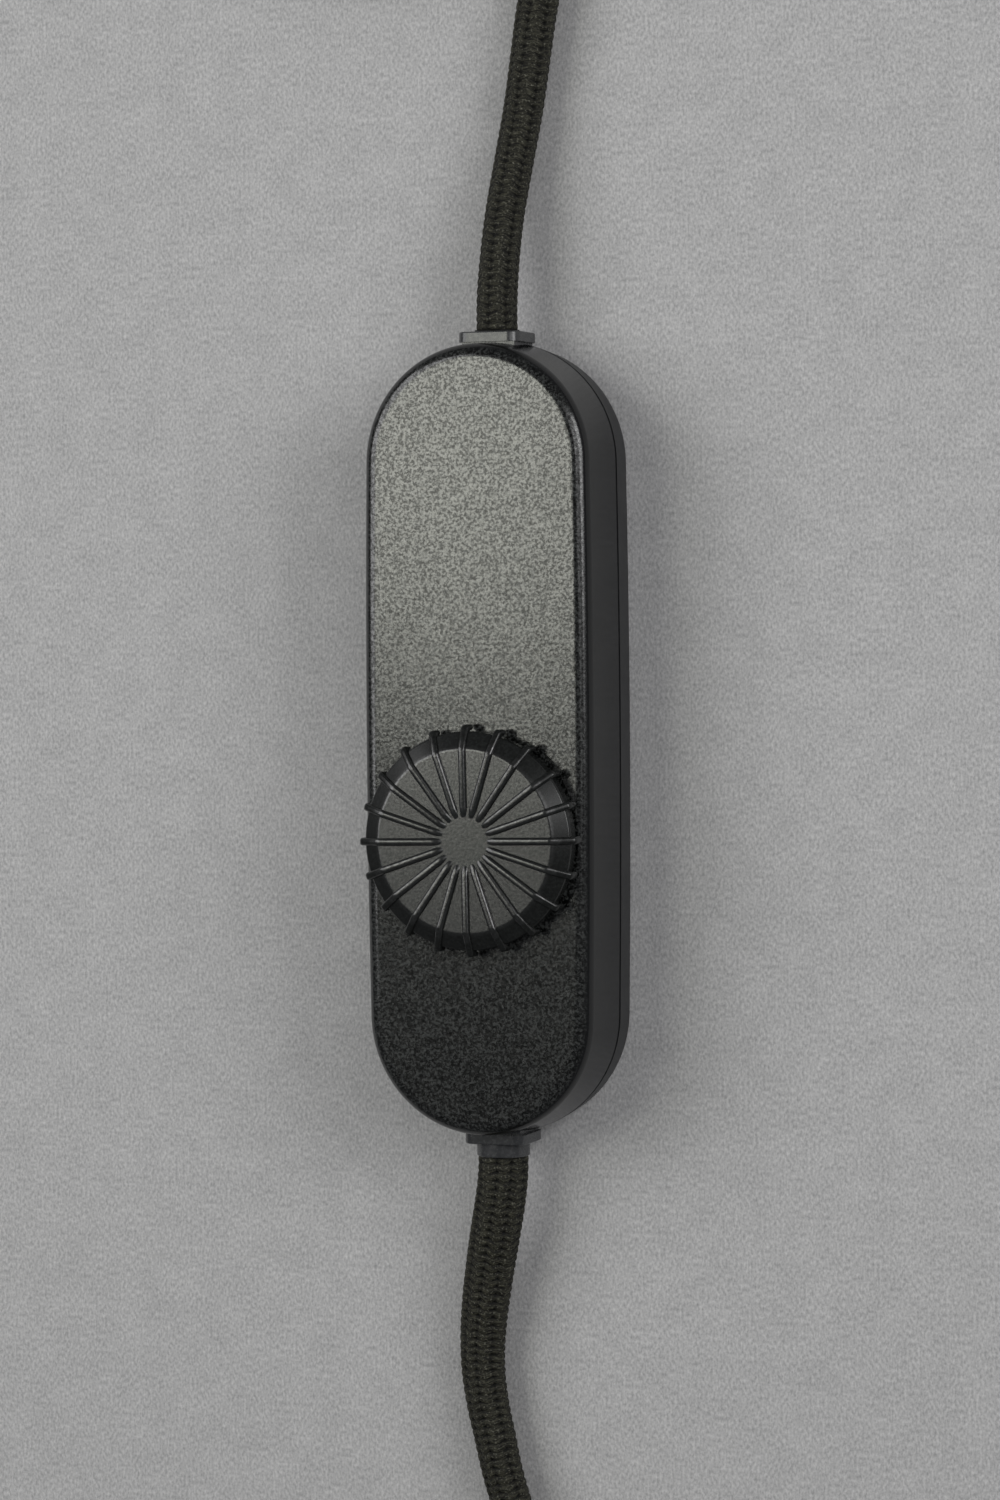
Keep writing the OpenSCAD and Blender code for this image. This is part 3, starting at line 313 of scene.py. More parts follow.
def plug_side_points():
    """The plug side's whole line: free stretch, hank, and the lead that crosses to the plug."""
    rise = PLUG_HANK.near + CORD_DIAMETER / MM
    top = HANK_Z + HANK_STEP * PLUG_HANK.loops
    points = hank_points(PLUG_HANK)
    for i in range(PLUG_LEAD_STEPS + 1):
        t = i / PLUG_LEAD_STEPS
        across = HANK_X + HANK_FOLD * (1 + math.cos(math.pi * t)) / 2
        points.append((across, rise + PLUG_LEAD * t, top + (PLUG_AXIS_Z - top) * ease(t)))
    points.append((HANK_X, rise + PLUG_LEAD + CORD_DIAMETER / MM, PLUG_AXIS_Z))
    return ROUTE_PLUG + [(x, -y, z) for x, y, z in points]


def lamp_side_points():
    """The lamp side's whole line, which ends on top of the run that it came in on."""
    hank = LAMP_HANK
    points = hank_points(hank)
    for u in (hank.tie - hank.reach, hank.tie - HANK_GRIP, hank.tie + HANK_GRIP):
        points.append(run_point(hank, 1, u, hank.loops))
    x, y, z = points[-1]
    points.append((x, y + CORD_DIAMETER / MM, z))
    return ROUTE_LAMP + points


def smooth_line(points, step):
    """A smooth line through points, as points about step apart, with its length along at each."""
    p = np.array(points, float)
    knots = np.concatenate([[0], np.cumsum(np.linalg.norm(np.diff(p, axis=0), axis=1))])
    chord = np.diff(p, axis=0) / np.diff(knots)[:, None]
    before, after = np.diff(knots)[:-1, None], np.diff(knots)[1:, None]
    slopes = np.vstack([chord[:1], (chord[:-1] * after + chord[1:] * before) / (before + after), chord[-1:]])
    at = np.linspace(0, knots[-1], int(knots[-1] / step) + 1)
    i = np.clip(np.searchsorted(knots, at, side="right") - 1, 0, len(p) - 2)
    gap = (knots[i + 1] - knots[i])[:, None]
    t = (at - knots[i])[:, None] / gap
    line = (
        (2 * t**3 - 3 * t**2 + 1) * p[i]
        + (t**3 - 2 * t**2 + t) * gap * slopes[i]
        + (3 * t**2 - 2 * t**3) * p[i + 1]
        + (t**3 - t**2) * gap * slopes[i + 1]
    )
    along = np.concatenate([[0], np.cumsum(np.linalg.norm(np.diff(line, axis=0), axis=1))])
    return line, along


# ---------------------------------------------------------------- cord meshes

# How the cord's oval lies: half its wide and narrow sides, where it starts and ends to get round again,
# and, at distances from the bush in millimetres, the turn of the wide side from level in degrees
OVAL_WIDE = 3.8 * MM
OVAL_NARROW = 2.95 * MM
OVAL_START = 60 * MM
OVAL_END = 100 * MM
PLUG_TURNS = ((0, 38), (8, 25), (18, 0), (30, -22), (38, -34), (54, -47), (75, -60))
LAMP_TURNS = ((0, 90), (6, 88), (18, 68), (36, 54), (52, 43), (75, 25))


def oval_radius(angle, along, turns):
    """The cord's radius at an angle from level and a distance along it."""
    turn = np.radians(np.interp(along / MM, [a for a, _ in turns], [b for _, b in turns]))
    round_share = np.clip((along - OVAL_START) / (OVAL_END - OVAL_START), 0, 1)
    oval = OVAL_WIDE * OVAL_NARROW / np.sqrt(
        (OVAL_NARROW * np.cos(angle - turn)) ** 2 + (OVAL_WIDE * np.sin(angle - turn)) ** 2
    )
    return oval * (1 - round_share) + CORD_RADIUS * round_share


def braid_height(column, row):
    """The braid's height, 1 on its strands: columns of nested Vs, with a row of holes between columns."""
    number = np.floor(column)
    across = 2 * np.abs(column - number - 0.5)
    stray = np.sin(row * STRAY_BY_ROW + number * STRAY_BY_COLUMN)
    place = row + BRAID_RISE * across + BRAID_STRAY * stray
    groove = 1 - np.sqrt(np.clip(1 - (2 * (place - np.floor(place)) - 1) ** 2, 0, 1))
    along_arm = groove * (GROOVE_MIDDLE + (1 - GROOVE_MIDDLE) * across)
    return 1 - along_arm - across**4 * (HOLE_BETWEEN + HOLE_DEPTH * groove)


def sweep_rings(line, along, stops, sides, turns, braided):
    """Rings of points about a line at given distances along it, and their column and row."""
    centre = np.stack([np.interp(stops, along, line[:, k]) for k in range(3)], axis=1)
    ahead = np.stack([np.interp(stops + TANGENT_REACH, along, line[:, k]) for k in range(3)], axis=1)
    behind = np.stack([np.interp(stops - TANGENT_REACH, along, line[:, k]) for k in range(3)], axis=1)
    tangent = ahead - behind
    tangent /= np.linalg.norm(tangent, axis=1)[:, None]
    side = np.cross(tangent, (0, 0, 1))
    side /= np.linalg.norm(side, axis=1)[:, None]
    top = np.cross(side, tangent)
    angle = 2 * math.pi * np.arange(sides) / sides
    column = np.broadcast_to(BRAID_COLUMNS * angle / (2 * math.pi), (len(stops), sides))
    row = np.broadcast_to((stops / BRAID_PITCH)[:, None], column.shape)
    radius = oval_radius(angle[None, :], stops[:, None], turns)
    if braided:
        radius = radius - BRAID_DEPTH * (1 - braid_height(column, row))
    points = (
        centre[:, None, :]
        + (radius * np.cos(angle))[..., None] * side[:, None, :]
        + (radius * np.sin(angle))[..., None] * top[:, None, :]
    )
    return centre, points.reshape(-1, 3), column.reshape(-1), row.reshape(-1)


def cord_tube(name, points, fine_length, turns):
    """A braided cord as one closed tube: its strands are modelled where it runs free, and the
    hank's are in the material. Returns the piece and its ring centres."""
    line, along = smooth_line(np.array(points) * MM, LINE_STEP)
    fine = np.arange(0, fine_length, FINE_STEP)
    coarse = np.append(np.arange(fine_length, along[-1] - COARSE_STEP / 2, COARSE_STEP), along[-1])
    centre_a, points_a, column_a, row_a = sweep_rings(line, along, fine, FINE_SIDES, turns, True)
    centre_b, points_b, column_b, row_b = sweep_rings(line, along, coarse, COARSE_SIDES, turns, False)
    faces, corners = [], []

    def quads(first, rings, sides):
        """Adds the faces between rings, and which of their corners lie past the seam."""
        for i in range(rings - 1):
            for k in range(sides):
                a, b = first + i * sides + k, first + i * sides + (k + 1) % sides
                faces.append((a, a + sides, b + sides, b))
                corners.append((0, 0, 1, 1) if k == sides - 1 else (0, 0, 0, 0))

    quads(0, len(fine), FINE_SIDES)
    base, last = len(points_a), len(points_a) - FINE_SIDES
    ratio = FINE_SIDES // COARSE_SIDES
    for k in range(COARSE_SIDES):
        seam = k == COARSE_SIDES - 1
        edge = [last + (k * ratio + j) % FINE_SIDES for j in range(ratio + 1)]
        faces.append((*edge, base + (k + 1) % COARSE_SIDES, base + k)[::-1])
        corners.append((*[0] * ratio, int(seam), int(seam), 0)[::-1])
    quads(base, len(coarse), COARSE_SIDES)
    faces.append(tuple(range(FINE_SIDES)))
    corners.append((0,) * FINE_SIDES)
    end = base + (len(coarse) - 1) * COARSE_SIDES
    faces.append(tuple(range(end, end + COARSE_SIDES))[::-1])
    corners.append((0,) * COARSE_SIDES)
    mesh = bpy.data.meshes.new(name)
    mesh.from_pydata(np.vstack([points_a, points_b]).tolist(), [], faces)
    wrap = np.array([w for face in corners for w in face], float)
    index = np.array([v for face in faces for v in face])
    column = np.concatenate([column_a, column_b])[index] + wrap * BRAID_COLUMNS
    row = np.concatenate([row_a, row_b])[index]
    layer = mesh.uv_layers.new(name="braid")
    layer.data.foreach_set("uv", np.stack([column, row], axis=1).astype(np.float32).ravel())
    plain = mesh.attributes.new("plain", "FLOAT", "POINT")
    plain.data.foreach_set("value", np.repeat([0.0, 1.0], [len(points_a), len(points_b)]).astype(np.float32))
    mesh.polygons.foreach_set("use_smooth", [True] * len(mesh.polygons))
    mesh.update()
    piece = bpy.data.objects.new(name, mesh)
    bpy.context.scene.collection.objects.link(piece)
    return piece, np.vstack([centre_a, centre_b])


plug_cord, plug_line = cord_tube("braided_cord_plug_side", plug_side_points(), PLUG_FINE, PLUG_TURNS)
lamp_cord, lamp_line = cord_tube("braided_cord_lamp_side", lamp_side_points(), LAMP_FINE, LAMP_TURNS)

# ---------------------------------------------------------------- modelling helpers


def deselect_all():
    """Leaves no object selected."""
    bpy.ops.object.select_all(action="DESELECT")


def start(name):
    """Names the primitive just added, puts its place in its mesh and opens it in edit mode."""
    piece = bpy.context.object
    piece.name = piece.data.name = name
    bpy.ops.object.transform_apply(location=True, rotation=True, scale=True)
    bpy.ops.object.mode_set(mode="EDIT")
    return piece


def finish_edit():
    """Goes back to object mode."""
    bpy.ops.object.mode_set(mode="OBJECT")


def pick(kind, test):
    """Selects the faces, edges or vertices of the mesh in edit mode whose middle or normal passes a test."""
    bpy.ops.mesh.select_mode(type={"faces": "FACE", "edges": "EDGE", "verts": "VERT"}[kind])
    bpy.ops.mesh.select_all(action="DESELECT")
    mesh = bmesh.from_edit_mesh(bpy.context.object.data)
    mesh.normal_update()
    for part in getattr(mesh, kind):
        if test(part):
            part.select_set(True)
    mesh.select_flush_mode()
    bmesh.update_edit_mesh(bpy.context.object.data)


def at_height(z):
    """A test for edges and faces that lie level at a height."""
    return lambda part: all(abs(v.co.z - z) < NEAR for v in part.verts)


def at_end(y):
    """A test for edges that lie at a place along Y."""
    return lambda edge: all(abs(v.co.y - y) < NEAR for v in edge.verts)


def along_y(length):
    """A test for edges that reach further than a length along Y."""
    return lambda edge: abs(edge.verts[0].co.y - edge.verts[1].co.y) > length


def extrude(x=0, y=0, z=0):
    """Extrudes the selected faces by a distance."""
    bpy.ops.mesh.extrude_region_move(TRANSFORM_OT_translate={"value": (x, y, z)})


def bevel(width, segments):
    """Rounds the selected edges."""
    bpy.ops.mesh.bevel(offset=width, segments=segments, profile=0.5, affect="EDGES")


def turn_faces_out():
    """Turns all faces of the mesh in edit mode to the outside."""
    bpy.ops.mesh.select_all(action="SELECT")
    bpy.ops.mesh.normals_make_consistent(inside=False)


def activate(piece):
    """Makes a piece the only one selected, and the active one."""
    deselect_all()
    piece.select_set(True)
    bpy.context.view_layer.objects.active = piece


def apply_modifier(piece, kind, **settings):
    """Adds a modifier with its settings and applies it at once."""
    activate(piece)
    modifier = piece.modifiers.new(kind.lower(), kind)
    for name, value in settings.items():
        setattr(modifier, name, value)
    bpy.ops.object.modifier_apply(modifier=modifier.name)


def cut(piece, cutter):
    """Takes a cutter's space out of a piece, and the cutter away."""
    apply_modifier(piece, "BOOLEAN", operation="DIFFERENCE", object=cutter, solver="EXACT")
    bpy.data.objects.remove(cutter)


def join(pieces):
    """Joins pieces into the first of them."""
    activate(pieces[0])
    for piece in pieces[1:]:
        piece.select_set(True)
    bpy.ops.object.join()


def round_edges(piece, width, segments, degrees):
    """Rounds all the edges that turn by more than an angle."""
    angle = math.radians(degrees)
    apply_modifier(piece, "BEVEL", width=width, segments=segments, limit_method="ANGLE", angle_limit=angle)


def smooth(piece, degrees=32):
    """Shades a piece smooth up to an angle, with its large faces kept flat."""
    activate(piece)
    bpy.ops.object.shade_smooth_by_angle(angle=math.radians(degrees))
    apply_modifier(piece, "WEIGHTED_NORMAL", keep_sharp=True, weight=90)


def hand_in(piece, body, material, slot, *nodes):
    """Gives a finished piece its body and its material, and hides the CAD nodes that it stands for."""
    piece.data.materials.clear()
    piece.data.materials.append(material)
    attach(piece, body)
    if nodes:
        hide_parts(*nodes)


def cylinder(radius, bottom, top, x, y, sides, top_radius=None):
    """Adds an upright cylinder or cone."""
    deselect_all()
    bpy.ops.mesh.primitive_cone_add(
        vertices=sides,
        radius1=radius,
        radius2=radius if top_radius is None else top_radius,
        depth=top - bottom,
        location=(x, y, (top + bottom) / 2),
    )


def lying_cylinder(radius, near, far, x, z, sides):
    """Adds a cylinder that lies along Y, from near to far."""
    deselect_all()
    bpy.ops.mesh.primitive_cylinder_add(
        vertices=sides,
        radius=radius,
        depth=abs(far - near),
        location=(x, (near + far) / 2, z),
        rotation=(math.pi / 2, 0, 0),
    )


def block(low, high):
    """Adds a box between two corners."""
    deselect_all()
    low, high = Vector(low), Vector(high)
    bpy.ops.mesh.primitive_cube_add(size=1, location=(low + high) / 2, scale=high - low)


# ---------------------------------------------------------------- materials

# A noise of scale 1 has grains about this wide
NOISE_GRAIN = 0.62
# Lines of a rolled, drawn or turned metal
LINE_GAP = 0.25 * MM
LINE_LENGTH = 50 / 3 * MM


def linear(value):
    """An sRGB hex colour as linear red, green, blue and alpha."""
    parts = [int(value[i : i + 2], 16) / 255 for i in (1, 3, 5)]
    return [p / 12.92 if p <= 0.04045 else ((p + 0.055) / 1.055) ** 2.4 for p in parts] + [1]


def feed(made, **links):
    """Links sockets, or the first outputs of nodes, to a node's inputs by name, or by number as i0."""
    for key, source in links.items():
        name = int(key[1:]) if key[0] == "i" and key[1:].isdigit() else key.replace("_", " ")
        made.id_data.links.new(getattr(source, "outputs", [source])[0], made.inputs[name])


def node(tree, kind, settings=(), **links):
    """Adds a shader node, such as Math. Settings are properties by name, or inputs by name or number."""
    made = tree.nodes.new("ShaderNode" + kind)
    for key, value in dict(settings).items():
        if isinstance(key, str) and key in made.bl_rna.properties:
            setattr(made, key, value)
        else:
            made.inputs[key].default_value = value
    feed(made, **links)
    return made


def new_material(name, **shader_settings):
    """A material with a Principled shader, its tree and Object coordinates."""
    material = bpy.data.materials.new(name)
    material.use_nodes = True
    tree = material.node_tree
    shader = tree.nodes["Principled BSDF"]
    for key, value in shader_settings.items():
        shader.inputs[key.replace("_", " ")].default_value = value
    place = node(tree, "TexCoord").outputs["Object"]
    return material, tree, shader, place


def grains(size, detail=2.0, roughness=0.55):
    """Settings of a noise whose grains are about a size wide. Its values lie round a half."""
    return {"Scale": NOISE_GRAIN / size, "Detail": detail, "Roughness": roughness}


def span(from_low, from_high, to_low=0.0, to_high=1.0):
    """Settings that stretch one range of values over another."""
    return {"From Min": from_low, "From Max": from_high, "To Min": to_low, "To Max": to_high}


def blend_colours(tree, factor, low, high, from_low=0.3, from_high=0.7):
    """A colour between two, as a factor goes from one value to another."""
    share = node(tree, "MapRange", span(from_low, from_high), Value=factor)
    ends = {"data_type": "RGBA", 6: linear(low), 7: linear(high)}
    return node(tree, "Mix", ends, i0=share).outputs[2]


def eroded_abs(name, low, high, wall, top, fade):
    """Black ABS moulded in a spark-eroded tool: on top, its grains sparkle where they tip towards the
    light, with paler specks in the top's colour as painted sparkle, and the side walls, left smoother, have a
    satin sheen. Real grains are about half as wide: these are as coarse as they need to be to show."""
    material, tree, shader, place = new_material(name)
    height = node(tree, "SeparateXYZ", Vector=place).outputs["Z"]
    rise = {**span(top - fade, top), "interpolation_type": "SMOOTHSTEP"}
    on_top = node(tree, "MapRange", rise, Value=height)
    bumps = node(tree, "TexNoise", grains(0.28 * MM, 3.0, 0.8), Vector=place)
    strength = node(tree, "Math", {"operation": "MULTIPLY_ADD", 1: 0.96, 2: 0.04}, i0=on_top)
    normal = node(tree, "Bump", {"Distance": 0.01 * MM}, Height=bumps, Strength=strength)
    # Painted sparkle: paler specks in the top's colour follow the grains, as glints would
    painted_glint_speckle = blend_colours(tree, bumps, low, high, 0.485, 0.58)
    colour = node(tree, "Mix", {"data_type": "RGBA", 6: linear(wall)}, i0=on_top, i7=painted_glint_speckle)
    facets = node(tree, "TexNoise", grains(0.27 * MM, 3.0, 0.8), Vector=place)
    glint = node(tree, "MapRange", span(0.45, 0.55, 0.4, 1.2), Value=facets)
    shine = node(tree, "Mix", {"data_type": "FLOAT", 2: 0.5}, i0=on_top, i3=glint)
    drift = node(tree, "TexNoise", grains(0.9 * MM), Vector=place)
    rough = node(tree, "MapRange", span(0.3, 0.7, 0.16, 0.19), Value=drift)
    feed(shader, Base_Color=colour.outputs[2], Normal=normal, Specular_IOR_Level=shine, Roughness=rough)
    return material


def knob_abs():
    """Black ABS of the knob: its top is finely eroded, its centre, bevel and skirt are polished satin."""
    material, tree, shader, place = new_material("knob_fine_eroded_abs", Roughness=0.25)
    height = node(tree, "SeparateXYZ", Vector=place).outputs["Z"]
    rise = span(KNOB_TOP - 0.25 * MM, KNOB_TOP - 0.05 * MM)
    on_top = node(tree, "MapRange", rise, Value=height)
    bumps = node(tree, "TexNoise", grains(0.26 * MM, 2.0, 0.6), Vector=place)
    strength = node(tree, "Math", {"operation": "MULTIPLY_ADD", 1: 0.6, 2: 0.05}, i0=on_top)
    normal = node(tree, "Bump", {"Distance": 0.007 * MM}, Height=bumps, Strength=strength)
    colour = blend_colours(tree, bumps, "#121312", "#232524")
    facets = node(tree, "TexNoise", grains(0.2 * MM, 2.0, 0.6), Vector=place)
    glint = node(tree, "MapRange", span(0.3, 0.7, 0.6, 1.5), Value=facets)
    shine = node(tree, "Mix", {"data_type": "FLOAT", 2: 0.5}, i0=on_top, i3=glint)
    feed(shader, Base_Color=colour, Normal=normal, Specular_IOR_Level=shine)
    return material


def braid_relief(tree, across, place):
    """The braid's height in its material, as braid_height gives it for the mesh, from how far a spot is
    from its column's middle and its place on the strand."""
    fold = node(tree, "Math", {"operation": "PINGPONG", 1: 0.5}, i0=place)
    crest = node(tree, "Math", {"operation": "MULTIPLY_ADD", 1: -2.0, 2: 1.0}, i0=fold)
    # A strand's section is a half round, and its groove is what that leaves
    square = node(tree, "Math", {"operation": "MULTIPLY"}, i0=crest, i1=crest)
    under = node(tree, "Math", {"operation": "SUBTRACT", 0: 1.0}, i1=square)
    arch = node(tree, "Math", {"operation": "SQRT"}, i0=under)
    groove = node(tree, "Math", {"operation": "SUBTRACT", 0: 1.0}, i1=arch)
    slope = {"operation": "MULTIPLY_ADD", 1: 1 - GROOVE_MIDDLE, 2: GROOVE_MIDDLE}
    share = node(tree, "Math", slope, i0=across)
    along_arm = node(tree, "Math", {"operation": "MULTIPLY"}, i0=groove, i1=share)
    border = node(tree, "Math", {"operation": "POWER", 1: 4.0}, i0=across)
    fall = {"operation": "MULTIPLY_ADD", 1: HOLE_DEPTH, 2: HOLE_BETWEEN}
    depth = node(tree, "Math", fall, i0=groove)
    hole = node(tree, "Math", {"operation": "MULTIPLY"}, i0=border, i1=depth)
    low = node(tree, "Math", {"operation": "ADD"}, i0=along_arm, i1=hole)
    return node(tree, "Math", {"operation": "SUBTRACT", 0: 1.0}, i1=low)


def braided_textile():
    """Olive-black rayon braid: matt strands in nested Vs, pale specks painted on as fibre glints, and holes
    in rows, with painted shade darkening the grooves and holes.
    """
    material, tree, shader, _ = new_material("black_rayon_braid", Roughness=0.7, Specular_IOR_Level=0.35)
    uv = node(tree, "UVMap", {"uv_map": "braid"})
    parts = node(tree, "SeparateXYZ", Vector=uv)
    column = parts.outputs["X"]
    fold = node(tree, "Math", {"operation": "PINGPONG", 1: 0.5}, i0=column)
    across = node(tree, "Math", {"operation": "MULTIPLY_ADD", 1: -2.0, 2: 1.0}, i0=fold)
    row = parts.outputs["Y"]
    place = node(tree, "Math", {"operation": "MULTIPLY_ADD", 1: BRAID_RISE}, i0=across, i2=row)
    height = braid_relief(tree, across, place)
    # Fibres run along the strands, two to a column and seven to a row
    on_strand = node(tree, "CombineXYZ", X=column, Y=place)
    drawn = node(tree, "Mapping", {"Scale": (2.0, 7.0, 1.0)}, Vector=on_strand)
    fibres = node(tree, "TexNoise", {"Scale": 1.0, "Detail": 3.0, "Roughness": 0.7}, Vector=drawn)
    yarn = blend_colours(tree, fibres, "#0d0c09", "#474639", 0.43, 0.6)
    # Painted fibre glints: pale specks, #7e7d70, mixed into the yarn's colour
    spots = node(tree, "Mapping", {"Scale": (7.5, 3.6, 1.0)}, Vector=uv)
    painted_glint_specks = node(tree, "TexNoise", {"Scale": 1.0, "Detail": 2.0, "Roughness": 0.6}, Vector=spots)
    share = node(tree, "MapRange", span(0.56, 0.72), Value=painted_glint_specks)
    painted_glint_speckle = node(tree, "Mix", {"data_type": "RGBA", 7: linear("#7e7d70")}, i0=share, i6=yarn)
    # Painted shade: the colour darkens with the braid's height, nearly to black in the grooves and holes
    painted_groove_shade = node(tree, "MapRange", span(0.15, 1.0, 0.03), Value=height)
    painted_shade_multiply = {"data_type": "RGBA", "blend_type": "MULTIPLY", 0: 1.0}
    painted_shade_colour = node(tree, "Mix", painted_shade_multiply, i6=painted_glint_speckle.outputs[2], i7=painted_groove_shade)
    # The strands stand out by bump only where the mesh doesn't carry them
    plain = node(tree, "Attribute", {"attribute_name": "plain"}).outputs["Fac"]
    raised = node(tree, "Math", {"operation": "MULTIPLY"}, i0=height, i1=plain)
    coarse = node(tree, "Bump", {"Distance": BRAID_DEPTH}, Height=raised)
    fine = node(tree, "Bump", {"Distance": 0.08 * MM, "Strength": 0.8}, Height=fibres, Normal=coarse)
    feed(shader, Base_Color=painted_shade_colour.outputs[2], Normal=fine)
    return material


def mottled(name, low, high, size, rough, depth=0.0, **shader_settings):
    """A finish whose colour and roughness drift between two values over a size, with any relief."""
    material, tree, shader, place = new_material(name, **shader_settings)
    noise = node(tree, "TexNoise", grains(size), Vector=place)
    satin = node(tree, "MapRange", span(0.3, 0.7, *rough), Value=noise)
    feed(shader, Base_Color=blend_colours(tree, noise, low, high), Roughness=satin)
    if depth:
        feed(shader, Normal=node(tree, "Bump", {"Distance": depth}, Height=noise))
    return material


def brushed(name, low, high, lay, rough):
    """A metal with fine lines along one axis, a quarter of a millimetre apart, which stretch its
    highlights across them."""
    material, tree, shader, place = new_material(name, Metallic=1.0)
    stretch = [LINE_LENGTH if axis == lay else LINE_GAP for axis in "XYZ"]
    lines = node(tree, "Mapping", {"Scale": [1 / size for size in stretch]}, Vector=place)
    noise = node(tree, "TexNoise", {"Scale": 1.0, "Detail": 2.0}, Vector=lines)
    satin = node(tree, "MapRange", span(0.3, 0.7, *rough), Value=noise)
    relief = node(tree, "Bump", {"Distance": 0.01 * MM}, Height=noise)
    feed(shader, Base_Color=blend_colours(tree, noise, low, high), Roughness=satin, Normal=relief)
    return material


# Black ABS of the covers: the paler of the top's two colours, #444645, is painted sparkle
cover_plastic = eroded_abs(
    "spark_eroded_black_abs", "#070807", "#444645", "#171819", COVER_TOP - 0.1 * MM, 0.8 * MM
)
# Satin ABS of the bottom cover: a shade greyer than the top face, with a faint unevenness
base_plastic = mottled("satin_black_abs", "#1e1f20", "#242526", 1.5 * MM, (0.4, 0.46), 0.01 * MM)
knob_plastic = knob_abs()
# Glass-filled nylon of the bushes: paler than the covers, partly its own grey and partly a painted reflection
# of the floor and light from above, with the glass just felt in its surface
bush_plastic = mottled(
    "dark_grey_nylon", "#38393b", "#464749", 0.4 * MM, (0.22, 0.3), 0.006 * MM, Specular_IOR_Level=0.8
)
braid = braided_textile()
# Hook-and-loop strap of the hanks: matt, with a fine nap
strap_textile = mottled("black_hook_and_loop", "#121212", "#262626", 0.4 * MM, (0.8, 0.95), 0.12 * MM)
# Soft PVC of the plug: satin, with a faint orange peel
plug_plastic = mottled("black_soft_pvc", "#161718", "#1e1f20", 2.0 * MM, (0.42, 0.5), 0.02 * MM)

INNER_FINISHES = {
    # Nickel plating on brass and steel: bright and slightly warm
    "nickel": brushed("nickel_plate", "#b9b6ad", "#d2cfc6", "Z", (0.22, 0.34)),
    # Turned brass: yellow, with lines round the turning
    "brass": brushed("turned_brass", "#b08d4a", "#cfae6a", "Z", (0.25, 0.38)),
    # Rolled aluminium sheet: pale grey, lines along the rolling
    "aluminium": brushed("rolled_aluminium", "#a9acb0", "#c3c6ca", "Y", (0.3, 0.45)),
    # Solder mask on glass-epoxy board: green, slightly glossy, woven under the mask
    "circuit_board": mottled("green_solder_mask", "#1f4f2c", "#2b6639", 0.8 * MM, (0.25, 0.35), 0.01 * MM),
    # Phenolic-paper case: brown and dull
    "phenolic": mottled("brown_phenolic", "#3d2d1f", "#513d2b", 1.2 * MM, (0.5, 0.6)),
    # Epoxy moulding compound: near black, fine matt grain
    "component_black": mottled("epoxy_moulding", "#131314", "#1e1e1f", 0.25 * MM, (0.5, 0.65), 0.01 * MM),
    # Thermoplastic switch case: dark blue-black satin
    "switch_plastic": mottled("dark_blue_pbt", "#182130", "#222d3f", 1.0 * MM, (0.38, 0.5)),
    # Coated iron-powder core: yellow-green lacquer
    "ferrite": mottled("lacquered_iron_powder", "#7d7a31", "#98943f", 0.7 * MM, (0.35, 0.5), 0.02 * MM),
    # Enamelled copper wire: orange under a clear coat
    "copper": mottled("enamelled_copper", "#9c4f22", "#b9672f", 0.6 * MM, (0.22, 0.3), Metallic=0.9),
    # Dipped epoxy of the film capacitor: glossy red with soft waves
    "film_red": mottled("red_dipped_epoxy", "#93261f", "#ad352b", 2.5 * MM, (0.18, 0.28), 0.03 * MM),
    # Shrunk PVC sleeve of the can: dark blue, glossy
    "can_sleeve": mottled("blue_pvc_sleeve", "#1d2742", "#2a3657", 1.5 * MM, (0.25, 0.35)),
    # Resistor lacquer: beige and matt
    "resistor_coat": mottled("beige_lacquer", "#b39664", "#cdb083", 0.6 * MM, (0.4, 0.5)),
    # Painted glass diode body: pale blue
    "diac_glass": mottled("blue_painted_glass", "#3a6892", "#4c7da8", 0.8 * MM, (0.15, 0.25)),
    # Fuse tube of clear glass
    "fuse_glass": mottled(
        "clear_glass", "#dfeeee", "#f2fbfb", 3.0 * MM, (0.02, 0.06), Transmission_Weight=0.9
    ),
    # Brown PVC of the live cores
    "live_insulation": mottled("brown_pvc", "#4f2b16", "#61371e", 1.0 * MM, (0.4, 0.5)),
    # Blue PVC of the neutral cores
    "neutral_insulation": mottled("blue_pvc", "#1f4590", "#2c57a6", 1.0 * MM, (0.4, 0.5)),
    # Natural polyamide of clamps, terminals, rotor and plunger: milky
    "pale_plastic": mottled("natural_polyamide", "#d3cfc2", "#e2dfd4", 1.6 * MM, (0.42, 0.52), 0.01 * MM),
    "housing_plastic": base_plastic,
    "knob_plastic": knob_plastic,
    "bush_plastic": bush_plastic,
    "braid": braid,
    "tie_strap": strap_textile,
    "plug_plastic": plug_plastic,
}


def dress_cad_nodes():
    """Gives each CAD node that stays the finish of its slot in the record."""
    slots = {part["node"]: part["material_slot"] for part in frame["record"]["subparts"]}
    for name, part in frame["nodes"].items():
        part.data.materials.clear()
        part.data.materials.append(INNER_FINISHES[slots[name]])


dress_cad_nodes()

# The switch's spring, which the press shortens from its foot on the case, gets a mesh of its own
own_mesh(frame["nodes"]["switch_spring"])

# ---------------------------------------------------------------- covers


def housing_outline(name, z, radius):
    """A flat face with the housing's outline: round ends of a radius and slightly bowed sides."""
    deselect_all()
    bpy.ops.mesh.primitive_circle_add(
        vertices=ROUND_STEPS, radius=radius, location=(0, 0, z), rotation=(0, 0, math.pi / ROUND_STEPS)
    )
    piece = start(name)
    for side in (-1, 1):
        pick("verts", lambda v: v.co.y * side > 0)
        bpy.ops.transform.translate(value=(0, side * END_Y, 0))
    pick("edges", lambda e: e.verts[0].co.y * e.verts[1].co.y < 0)
    bpy.ops.mesh.subdivide(number_cuts=SIDE_CUTS)
    mesh = bmesh.from_edit_mesh(piece.data)
    for vertex in mesh.verts:
        share = max(0, 1 - (vertex.co.y / END_Y) ** 2)
        vertex.co.x += math.copysign(SIDE_BULGE * share, vertex.co.x)
    bmesh.update_edit_mesh(piece.data)
    bpy.ops.mesh.select_all(action="SELECT")
    bpy.ops.mesh.edge_face_add()
    return piece


